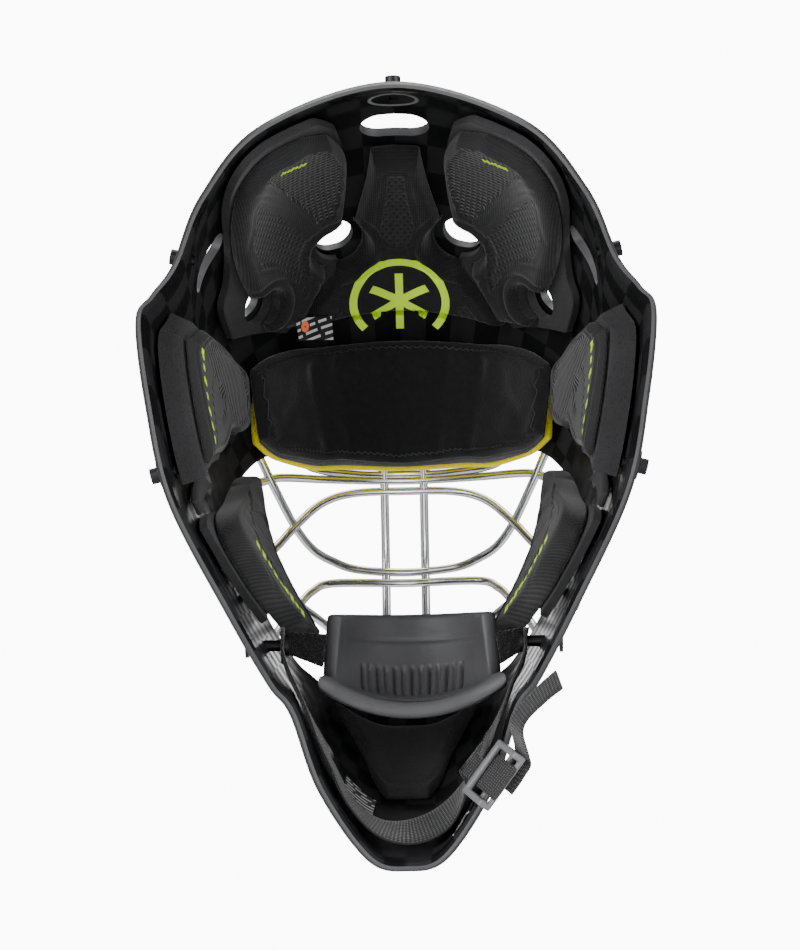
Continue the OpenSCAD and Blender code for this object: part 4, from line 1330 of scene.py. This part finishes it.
@dataclass
class Cage:
    """Chromed wires, welded where they meet."""

    wire: float = 4.0
    gap: float = 1.4
    upright: float = 9.0
    steps: int = 10

    def perimeter(self, u: Array | float) -> Array:
        """Centre of the perimeter wire in millimetres."""
        return NET.lay(u, 0.93, -(self.wire / 2 + self.gap)) / MM

    def bars(self) -> dict[str, Array]:
        """Each bar's points in millimetres, from the middle to the wearer's right."""
        right = {
            "brow": [(0, 134, 24.5), (20, 130, 23.5), (39, 120.5, 23), (46, 116.5, 27), 1.45],
            "eye": [(0, 135, 21.5), (32, 127, 20), (56, 112, 16.5), (66, 104, 12), 3.6],
            "arch": [(0, 137, 17), (23, 134, 15.5), (37, 130, 10), (48, 125, -1), (59, 117, -16),
                     (68, 106, -26), 6.8],
            "loop": [(0, 150, -18), (22, 145.5, -17.5), (33, 140, -15), (42, 133, -11),
                     (50, 124.5, -2), (59, 110, 13), (66, 101, 25), 2.35],
            "mouth": [(0, 150, -23), (33, 141.5, -25), (42, 136, -30), (48, 130, -38),
                      (57, 116, -54), 8.5],
            "lower": [(0, 141, -64), (20, 140.5, -59), (36, 138, -46), (48, 129.5, -38.5)]}
        out = {}
        for name, half in right.items():
            points = np.array([self.perimeter(p) if isinstance(p, float) else np.array(p, float)
                               for p in half])
            out[name] = np.vstack([mirrored(points[:0:-1]), points])
        return out

    def weld(self, at: Array) -> bpy.types.Object:
        """Small uneven bead of weld metal around a point in metres."""
        deselect()
        bpy.ops.mesh.primitive_ico_sphere_add(subdivisions=3, radius=self.wire * 0.62 * MM)
        bead = bpy.context.object
        p = points_of(bead)
        p *= 1 + 0.06 * np.sin(p[:, :1] * 2600 + at[0] * 900) * np.cos(p[:, 2:] * 2100)
        move_points(bead, p + at)
        return bead

    def build(self) -> bpy.types.Object:
        """Make the cage."""
        radius = self.wire / 2 * MM
        ring = self.perimeter(np.linspace(-LAST, LAST, 261)[:-1]) * MM
        parts = [tube("perimeter_wire", ring, radius, closed=True)]
        for name, points in self.bars().items():
            path = spline(points * MM, self.steps)
            parts.append(tube(f"{name}_wire", path, radius))
            parts += [self.weld(path[0]), self.weld(path[-1])]
        x = self.upright
        line = np.array([(x, 125, 34), (x, 134, 22), (x, 145.5, -3), (x, 150, -22),
                         (x, 148.5, -42), (x, 141.5, -64), (x, 131, -84), (x, 125.5, -92)]) * MM
        for points in (line, mirrored(line)):
            parts.append(tube("upright_wire", spline(points, self.steps), radius))
        piece = join("wire_cage", parts)
        smooth(piece, 50)
        dress(piece, CHROME)
        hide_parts("cage")
        return piece


# ---------------------------------------------------------------------------------------------
# Chin cup, sling and small parts


@dataclass
class ChinCup:
    """The moulded chin cup with its grooves, and the hook tabs at its ends."""

    offset: float = 3.0
    thick: float = 7.0
    groove_count: int = 13

    def curve(self, a: Array, s: Array) -> Array:
        """Point of the cup's inner face in millimetres."""
        full = math.sin(math.radians(78))
        turn = np.radians(78 * a)
        top = np.stack([31 * np.sin(turn) / full, 54 + 30 * np.cos(turn), -56 - 7 * a * a], -1)
        mid = np.stack([35 * np.sin(turn) / full, 57 + 28 * np.cos(turn), -98 + 4 * a * a], -1)
        low = np.stack([38 * a, 61 - 3 * a * a, -102 + 13 * a * a], -1)
        s = s[:, None]
        q = 1 - s
        return q * q * top + 2 * q * s * mid + s * s * low

    def point(self, a: Array, s: Array, depth: Array) -> Array:
        """Point at a depth behind the inner face, in metres."""
        e = 0.001
        n = np.cross(self.curve(a + e, s) - self.curve(a - e, s),
                     self.curve(a, s + e) - self.curve(a, s - e))
        n /= np.linalg.norm(n, axis=-1, keepdims=True)
        return (np.array([self.offset, 0, 0]) + self.curve(a, s) + depth[:, None] * n) * MM

    def cup(self) -> bpy.types.Object:
        """The cup itself."""
        piece = sheet("moulded_chin_cup", 120, 76)

        def place(s: Array, r: Array, level: Array) -> Array:
            """Point of the cup, with its rounded edges and pressed grooves."""
            a = 2 * s - 1
            d = np.minimum(np.minimum(s, 1 - s) * 95, np.minimum(r, 1 - r) * 78)
            f = np.clip(d / 2.6, 0, 1)
            thin = (1 - np.sqrt(1 - (1 - f) ** 2)) * 2.4
            lane = a * 0.5 * (self.groove_count + 3.5) * 1.32
            near = np.abs(lane - np.round(lane))
            reach = np.clip((self.groove_count / 2 + 0.2 - np.abs(lane)) * 3, 0, 1)
            tall = np.clip((r - 0.34) / 0.05, 0, 1) * np.clip((0.70 - r) / 0.05, 0, 1)
            groove = 1.9 * np.exp(-((near / 0.16) ** 2)) * reach * tall
            fade = np.clip((0.86 - np.abs(a)) * 12, 0, 1)
            band = 0.7 * np.exp(-(((r - 0.16) / 0.012) ** 2)) * fade
            lip = 0.9 * np.exp(-(((r - 0.80) / 0.02) ** 2))
            depth = np.where(level > 0.5, self.thick - thin, thin + groove + band + lip)
            wing = np.clip((r - 0.70) / 0.08, 0, 1)
            a = a * (1 - 0.075 * (1 - wing * wing * (3 - 2 * wing)))
            return self.point(a, r, depth)

        shape_sheet(piece, place, (0.095, 0.078))
        smooth(piece, 60)
        dress(piece, CUP, "chin_cup")
        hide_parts("chin_cup")
        return piece

    def tab(self, side: int) -> bpy.types.Object:
        """Fuzzy hook tab between an end of the cup and the shell."""
        name = "left" if side < 0 else "right"
        piece = sheet(f"hook_tab_{name}", 24, 16)

        def place(s: Array, r: Array, level: Array) -> Array:
            """Point of the tab, thin at its edges and a little wavy."""
            inner = np.array([side * 36 + self.offset, 58.2, -71.5])
            inner_low = np.array([side * 38 + self.offset, 58.2, -86.5])
            outer = np.array([side * 54, 60.2, -69.5])
            outer_low = np.array([side * 52, 60.2, -79])
            a, b = s[:, None], r[:, None]
            flat = ((1 - a) * ((1 - b) * inner + b * inner_low)
                    + a * ((1 - b) * outer + b * outer_low))
            d = np.minimum(np.minimum(s, 1 - s), np.minimum(r, 1 - r))
            full = np.sqrt(1 - (1 - np.clip(d / 0.18, 0, 1)) ** 2) * 0.5 + 0.4
            y = (level - 0.5) * 2.4 * full + 1.3 + 0.15 * np.sin(s * 17 + r * 5)
            flat[:, 1] += y
            return flat * MM

        shape_sheet(piece, place, (0.018, 0.014))
        refine(piece, 1)
        smooth(piece, 70)
        dress(piece, HOOK, "chin_cup")
        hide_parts(f"chin_tab_{name}")
        return piece

    def build(self) -> None:
        """Make the cup and both tabs."""
        self.cup()
        for side in (-1, 1):
            self.tab(side)


@dataclass
class Sling:
    """The chin sling: long webbing, tail, elastic and three-bar buckle."""

    pivot: Place = (46.0, -80.0)
    rivet: float = 51.6
    width: float = 16.0
    thick: float = 1.4
    tail_width: float = 12.0
    elastic_width: float = 8.0
    buckle: Point = (36.5, 21.0, -144.0)
    long: Point = (0.6, -0.247, 0.76)
    run: Point = (0.472, -0.658, -0.586)

    def on_buckle(self, long: float, run: float, out: float) -> Array:
        """Point in the buckle's own directions, in millimetres."""
        a, b = np.array(self.long), np.array(self.run)
        n = np.cross(a, b)
        return (np.array(self.buckle) + long * a / np.linalg.norm(a) + run * b / np.linalg.norm(b)
                + out * n / np.linalg.norm(n))

    def ribbon(self, name: str, stations: Sequence[tuple[Sequence[float], Sequence[float]]],
               width: float, thick: float, steps: int, straight: int = 0) -> bpy.types.Object:
        """Flat band through stations of centre and way of its width.

        Args:
            name: the new piece's name.
            stations: centres in millimetres, each with the way of the band's width.
            width: the band's width in millimetres.
            thick: its thickness in millimetres.
            steps: pieces in each stretch.
            straight: how many of the last stations follow a straight line.

        Returns:
            The band.
        """
        centres = np.array([s[0] for s in stations], dtype=float)
        ways = np.array([s[1] for s in stations], dtype=float)
        bend = len(centres) - straight
        line = spline(centres[:bend], steps)
        turn = spline(ways[:bend], steps)
        if straight:
            line = np.vstack([line, centres[bend:]])
            turn = np.vstack([turn, ways[bend:]])
        girth = np.concatenate([[0], np.cumsum(np.linalg.norm(np.diff(line, axis=0), axis=1))])
        even = np.linspace(0, girth[-1], max(24, int(girth[-1] / 1.6)))
        line = np.stack([np.interp(even, girth, line[:, k]) for k in range(3)], 1)
        turn = np.stack([np.interp(even, girth, turn[:, k]) for k in range(3)], 1)
        way = np.gradient(line, axis=0)
        way /= np.linalg.norm(way, axis=1, keepdims=True)
        across = turn - (turn * way).sum(1, keepdims=True) * way
        across /= np.linalg.norm(across, axis=1, keepdims=True)
        normal = np.cross(way, across)
        piece = sheet(name, len(line) - 1, 12)

        def place(s: Array, r: Array, level: Array) -> Array:
            """Point of the band, with rounded edges."""
            i = s * (len(line) - 1)

            def at_places(v: Array) -> Array:
                """Values of a line at the slab's places."""
                return np.stack([np.interp(i, np.arange(len(v)), v[:, k]) for k in range(3)], 1)

            side = 2 * r - 1
            full = 0.55 + 0.45 * np.sqrt(np.clip(1 - np.abs(side) ** 6, 0, 1))
            hump = 0.12 * np.cos(side * math.pi * 3) * (np.abs(side) > 0.5)
            z = (level - 0.5) * thick * full + hump * (level - 0.5)
            return MM * (at_places(line) + at_places(across) * (side * width / 2)[:, None]
                         + at_places(normal) * z[:, None])

        shape_sheet(piece, place, (girth[-1] * MM, width * MM))
        return piece

    def strap_end(self, side: int, width: float) -> bpy.types.Object:
        """Sewn round end of a strap on its rivet."""
        deselect()
        bpy.ops.mesh.primitive_circle_add(vertices=48, radius=width / 2 * MM, fill_type="NGON")
        piece = bpy.context.object
        bpy.ops.object.mode_set(mode="EDIT")
        bpy.ops.mesh.select_all(action="SELECT")
        bpy.ops.mesh.inset(thickness=(width / 2 - 3) * MM)
        bpy.ops.mesh.delete(type="FACE")
        bpy.ops.mesh.select_all(action="SELECT")
        bpy.ops.object.mode_set(mode="OBJECT")
        apply_modifier(piece, "SOLIDIFY", thickness=self.thick * MM, offset=0)
        apply_modifier(piece, "BEVEL", width=0.3 * MM, segments=2)
        p = points_of(piece)
        turned = np.stack([side * p[:, 2], side * p[:, 1], p[:, 0]], 1)
        move_points(piece, turned + MM * np.array([side * self.rivet, *self.pivot]))
        if not piece.data.uv_layers:
            piece.data.uv_layers.new(name="UVMap")
        write_uv(piece, p[:, :2].copy())
        return piece

    def build(self) -> None:
        """Make the straps and the buckle."""
        b, long = self.on_buckle, self.long
        strap = self.ribbon("long_webbing", [
            ((-self.rivet, 46, -84), (0, 1, 0)), ((-49, 43, -93), (0, 1, 0)),
            ((-43, 43.5, -106), (0, 1, 0.1)), ((-37, 50, -119), (0.1, 1, 0.2)),
            ((-31, 53, -132), (0.1, 1, 0.25)), ((-24, 55, -146), (0.15, 1, 0.35)),
            ((-13, 57, -156.5), (0.1, 0.85, 0.6)), ((0, 57, -159.5), (0, 0.62, 0.78)),
            ((13, 56, -155.5), (-0.05, 0.55, 0.85)), ((22, 51.5, -147), (0.1, 0.5, 0.87)),
            ((27.5, 42, -137.5), (0.4, 0.2, 0.9)), (b(0, -19, 0), long), (b(0, -9, 0), long),
            (b(0, 0, 0), long), (b(0, 9.5, 0), long)], self.width, self.thick, 8, 3)
        piece = join("long_webbing", [strap, self.strap_end(-1, self.width)])
        smooth(piece, 60)
        dress(piece, WEBBING, "chin_sling")
        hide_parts("sling_strap")
        run = self.run
        tail = self.ribbon("webbing_tail", [
            (b(-2, 4.5, 5.2), run), (b(6, 4, 5.4), run), (b(13.5, 1, 5.4), run),
            ((46.5, 9, -125), (0.4, -0.73, -0.55)), ((55.5, 4, -115.5), (0.4, -0.73, -0.55)),
            ((64, -1, -109.5), (0.5, -0.7, -0.5))], self.tail_width, self.thick, 8)
        smooth(tail, 60)
        dress(tail, WEBBING, "chin_sling")
        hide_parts("sling_tail")
        band = self.ribbon("elastic_band", [
            ((self.rivet, 46, -83.5), (0, 1, 0)), ((50, 43, -90), (0.1, 1, 0)),
            ((45.6, 39, -100), (0.1, 1, 0.2)), ((41.4, 33.5, -112), (0.1, 1, 0.2)),
            ((36.2, 26.4, -124), (0.2, 1, 0.3)), (b(9.5, -11.5, -4.4), (0.4, 0.6, 0.7)),
            (b(3, -8.4, -4.6), (0.4, 0.6, 0.7))], self.elastic_width, self.thick - 0.2, 8)
        elastic = join("elastic_band", [band, self.strap_end(1, self.tail_width)])
        smooth(elastic, 60)
        elastic.data.materials.clear()
        elastic.data.materials.append(SHOP.get(ELASTIC))
        tuple(float(v) for v in b(3, -8.4, -4.6) * MM)
        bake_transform(elastic)
        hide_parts("sling_elastic")
        self.make_buckle()

    def make_buckle(self) -> bpy.types.Object:
        """Three-bar buckle, melted together from shaped bars."""
        x = np.array(self.long) / np.linalg.norm(self.long)
        y = np.array(self.run) / np.linalg.norm(self.run)
        z = np.cross(x, y)
        lift = self.thick / 2 + 0.35
        bars = [(-12, 0, 0, 2.8, 15, 2 * lift + 4.8), (12, 0, 0, 2.8, 15, 2 * lift + 4.8),
                (0, -6, -lift - 1.2, 25, 3, 2.4), (0, 0, lift + 1.2, 25, 2.4, 2.4),
                (0, 6.3, lift + 1.2, 25, 2.4, 2.4)]
        made = []
        for cx, cy, cz, sx, sy, sz in bars:
            deselect()
            bpy.ops.mesh.primitive_cube_add(size=1)
            bar = bpy.context.object
            p = points_of(bar) * np.array([sx, sy, sz]) + np.array([cx, cy, cz])
            move_points(bar, p * MM)
            apply_modifier(bar, "BEVEL", width=0.8 * MM, segments=3)
            made.append(bar)
        piece = join("three_bar_buckle", made)
        apply_modifier(piece, "REMESH", mode="VOXEL", voxel_size=0.32 * MM)
        apply_modifier(piece, "SMOOTH", factor=0.5, iterations=4)
        p = points_of(piece)
        frame_of = np.stack([x, y, z])
        move_points(piece, p @ frame_of + np.array(self.buckle) * MM)
        smooth(piece, 80)
        dress(piece, BUCKLE, "buckle")
        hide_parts("sling_buckle")
        return piece


@dataclass
class Marks:
    """Printed bars and rings in place of lettering, and the labels."""

    lift: float = 0.22

    def patch(self, name: str, at: Place, drape: Drape, outline: Callable[[Array, Array], tuple[
            Array, Array]], n: int, m: int, mirror: bool = False) -> bpy.types.Object:
        """Thin print laid on a pad.

        Args:
            name: the new piece's name.
            at: place of its middle on the skin.
            drape: the pads that it lies on.
            outline: gives offsets in metres from s and r, each from 0 to 1.
            n: cells along s.
            m: cells along r.
            mirror: whether it lies on the wearer's left.

        Returns:
            The print.
        """
        piece = sheet(name, n, m)

        def place(s: Array, r: Array, level: Array) -> Array:
            """Point of the print."""
            u, t = NET.spot(*at, *outline(s, r))
            return drape.lay(u, t, self.lift * (2 * level - 1), mirror)

        shape_sheet(piece, place, (0.03, 0.012))
        return piece

    def ring(self) -> None:
        """Ring round a six-armed mark on the forehead pad."""
        drape = Drape("forehead_cushion")
        at = (0.0, 0.668)

        def annulus(s: Array, r: Array) -> tuple[Array, Array]:
            """Ring from above the sweatband's edge, over the top and back down."""
            angle = np.radians(-38 + 256 * s)
            radius = (21.0 + 3.9 * r) * MM
            return radius * np.cos(angle), -radius * np.sin(angle)

        parts = [self.patch("brow_ring", at, drape, annulus, 90, 4)]
        for k in range(3):
            angle = math.radians(30 + 60 * k)

            def arm(s: Array, r: Array, angle: float = angle) -> tuple[Array, Array]:
                """Straight arm through the middle of the ring."""
                along, wide = (s - 0.5) * 32 * MM, (r - 0.5) * 4.2 * MM
                return (along * math.cos(angle) - wide * math.sin(angle),
                        along * math.sin(angle) + wide * math.cos(angle))

            parts.append(self.patch("brow_arm", at, drape, arm, 30, 3))
        whole = join("brow_mark", parts)
        dress(whole, LIME)

    def dashes(self, name: str, pad: str, start: Place, end: Place, count: int, height: float,
               mirror: bool) -> None:
        """Row of slanted bars between two places on a pad."""
        parts = []
        drape, depth = Drape(pad), PAD_OUT
        for k in range(count):
            f = (k + 0.5) / count
            at = (start[0] + (end[0] - start[0]) * f, start[1] + (end[1] - start[1]) * f)
            x, y, _ = NET.axes(*at)
            way = NET.lay(*end, depth) - NET.lay(*start, depth)
            length = float(np.linalg.norm(way)) / count * 0.62
            ax, ay = float(way @ x), float(way @ y)
            norm = math.hypot(ax, ay)
            ax, ay = ax / norm, ay / norm
            tall = height * MM * (0.75 + 0.25 * math.sin(k * 2.4))

            def bar(s: Array, r: Array, ax: float = ax, ay: float = ay, length: float = length,
                    tall: float = tall) -> tuple[Array, Array]:
                """Slanted bar."""
                along, wide = (s - 0.5) * length + (r - 0.5) * tall * 0.35, (r - 0.5) * tall
                return along * ax - wide * ay, along * ay + wide * ax

            parts.append(self.patch(name, at, drape, bar, 4, 5, mirror))
        dress(join(name, parts), LIME)

    def emblem(self) -> None:
        """Plain oval ring printed inside the crown of the shell."""

        def oval(s: Array, r: Array) -> tuple[Array, Array]:
            """Closed ring a little wider than tall."""
            angle = 2 * math.pi * s
            radius = (9.6 + 1.5 * r) * MM
            return radius * np.cos(angle), radius * np.sin(angle) * 0.9

        piece = self.patch("inner_emblem", (0.0, 0.12), Drape("carbon_shell"), oval, 72, 3)
        dress(piece, EMBLEM)

    def labels(self) -> None:
        """Size label, chin label and the woven tag on the forehead."""
        for name, node, ribs, low, high, finish in (
                ("printed_size_label", "size_label",
                 [((-11.47, 0.50), (-11.44, 0.28)), ((-12.22, 0.48), (-12.0, 0.28))], 4.3, 4.7,
                 LABEL),
                ("printed_chin_label", "chin_label",
                 [((11.55, 0.03), (11.2, 0.12)), ((11.75, 0.06), (11.4, 0.15))], 4.3, 4.7,
                 LABEL),
                ("woven_tag", "liner_tag",
                 [((-0.72, 0.675), (-0.74, 0.735)), ((-1.25, 0.645), (-1.27, 0.705))],
                 PAD_OUT + 0.6, PAD_OUT + 1.1, TAG)):
            pad = Pad(name, [], ribs, low, high, LINER, "label", edge=0.8, soften=0.6, cell=1.2,
                      levels=0, soft=False)
            piece = pad.body()
            smooth(piece, 50)
            dress(piece, finish)
            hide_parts(node)

        def disc(s: Array, r: Array) -> tuple[Array, Array]:
            """Small ring on the tag."""
            angle = 2 * math.pi * s
            radius = (0.6 + 2.6 * r) * MM
            return radius * np.cos(angle), radius * np.sin(angle)

        mark = self.patch("tag_ring", (-1.13, 0.675), Drape("woven_tag"), disc, 36, 4)
        dress(mark, ORANGE)

    def build(self) -> None:
        """Make every print."""
        self.ring()
        for side, mirror in (("left", True), ("right", False)):
            self.dashes(f"crown_print_{side}", f"crown_cushion_{side}", (0.76, 0.185),
                        (1.04, 0.165), 7, 3.0, mirror)
            self.dashes(f"temple_print_{side}", f"temple_cushion_{side}", (4.3, 0.185),
                        (6.3, 0.205), 11, 4.0, mirror)
            self.dashes(f"jaw_print_{side}", f"jaw_cushion_{side}", (7.28, 0.50), (8.35, 0.83), 9,
                        6.5, mirror)
        self.labels()
        self.emblem()


def dress_fasteners() -> None:
    """Give the exact fasteners of the frame their finishes."""
    for node, finish in (("cage_clips", STEEL), ("cage_screws", STEEL), ("cage_tnuts", STEEL),
                         ("harness_studs", BLACKENED), ("sling_rivets", BLACKENED),
                         ("hook_dots", HOOK)):
        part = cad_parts[node]
        material = SHOP.get(finish)
        if part.material_slots:
            for held in part.material_slots:
                held.material = material
        else:
            part.data.materials.append(material)


@dataclass
class Studio:
    """Camera, floor and soft light."""

    far: float = 1.5
    tilt: float = 18.0
    turn: float = 0.75
    roll: float = 0.9
    drop: float = -0.0187
    lens: float = 135.3

    def camera(self) -> None:
        """Look into the mask from behind and below."""
        tilt, turn = math.radians(self.tilt), math.radians(self.turn)
        ahead = Vector((-math.sin(turn) * math.cos(tilt), math.cos(turn) * math.cos(tilt),
                        math.sin(tilt)))
        right = ahead.cross(Vector((0, 0, 1))).normalized()
        up = right.cross(ahead)
        at = up * self.drop - ahead * self.far
        rolled = Matrix.Rotation(math.radians(self.roll), 3, ahead)
        right, up = rolled @ right, rolled @ up
        data = bpy.data.cameras.new("camera")
        data.lens = self.lens
        data.sensor_fit = "VERTICAL"
        data.sensor_height = 36.0
        data.clip_end = 50
        cam = bpy.data.objects.new("camera", data)
        bpy.context.scene.collection.objects.link(cam)
        turned = Matrix((right, up, -ahead)).transposed().to_4x4()
        turned.translation = at
        cam.matrix_world = turned
        bpy.context.scene.camera = cam

    def light(self) -> None:
        """Soft boxes behind, above and beside the camera, in a pale room."""
        for name, at, size, power in (
                ("left_box", (-1.5, -1.6, 0.3), 1.2, 62), ("right_box", (1.6, -1.3, 0.5), 1.2, 48),
                ("low_box", (0.0, -1.7, -1.1), 1.0, 34), ("top_box", (0.0, 0.2, 2.2), 1.6, 40)):
            data = bpy.data.lights.new(name, "AREA")
            data.energy = power
            data.size = size
            lamp = bpy.data.objects.new(name, data)
            lamp.location = at
            lamp.rotation_euler = (-Vector(at)).to_track_quat("-Z", "Y").to_euler()
            bpy.context.scene.collection.objects.link(lamp)
        world = bpy.data.worlds.new("room")
        world.use_nodes = True
        tree = world.node_tree
        back = tree.nodes["Background"]
        coords = tree.nodes.new("ShaderNodeTexCoord")
        facing = tree.nodes.new("ShaderNodeVectorMath")
        facing.operation = "DOT_PRODUCT"
        facing.inputs[1].default_value = (0.0, math.cos(math.radians(self.tilt)),
                                          math.sin(math.radians(self.tilt)))
        stretch = tree.nodes.new("ShaderNodeMapRange")
        tree.links.new(coords.outputs["Generated"], facing.inputs[0])
        tree.links.new(facing.outputs["Value"], stretch.inputs[0])
        for index, value in ((1, 0.972), (2, 0.984), (3, 0.45), (4, 11.0)):
            stretch.inputs[index].default_value = value
        tree.links.new(stretch.outputs[0], back.inputs["Color"])
        back.inputs["Strength"].default_value = 1.0
        bpy.context.scene.world = world

    def floor(self) -> None:
        """Wide pale floor well below the mask."""
        deselect()
        bpy.ops.mesh.primitive_plane_add(size=14, location=(0, 0, -0.85))
        ground = bpy.context.object
        ground.name = "pale_floor"
        mix = Mix("pale_floor")
        mix.set(Base_Color=(0.86, 0.86, 0.86, 1), Roughness=0.9)
        ground.data.materials.append(mix.material)

    def build(self) -> None:
        """Set up the studio."""
        self.camera()
        self.light()
        self.floor()


def main() -> None:
    """Build every sub-assembly in order."""
    logging.basicConfig(level=logging.INFO, format="%(name)s %(message)s")
    Studio().build()
    Shell().build()
    Cage().build()
    Liner().build()
    Sweatband().build()
    ChinCup().build()
    Sling().build()
    Marks().build()
    dress_fasteners()


if __name__ == "__main__":
    main()
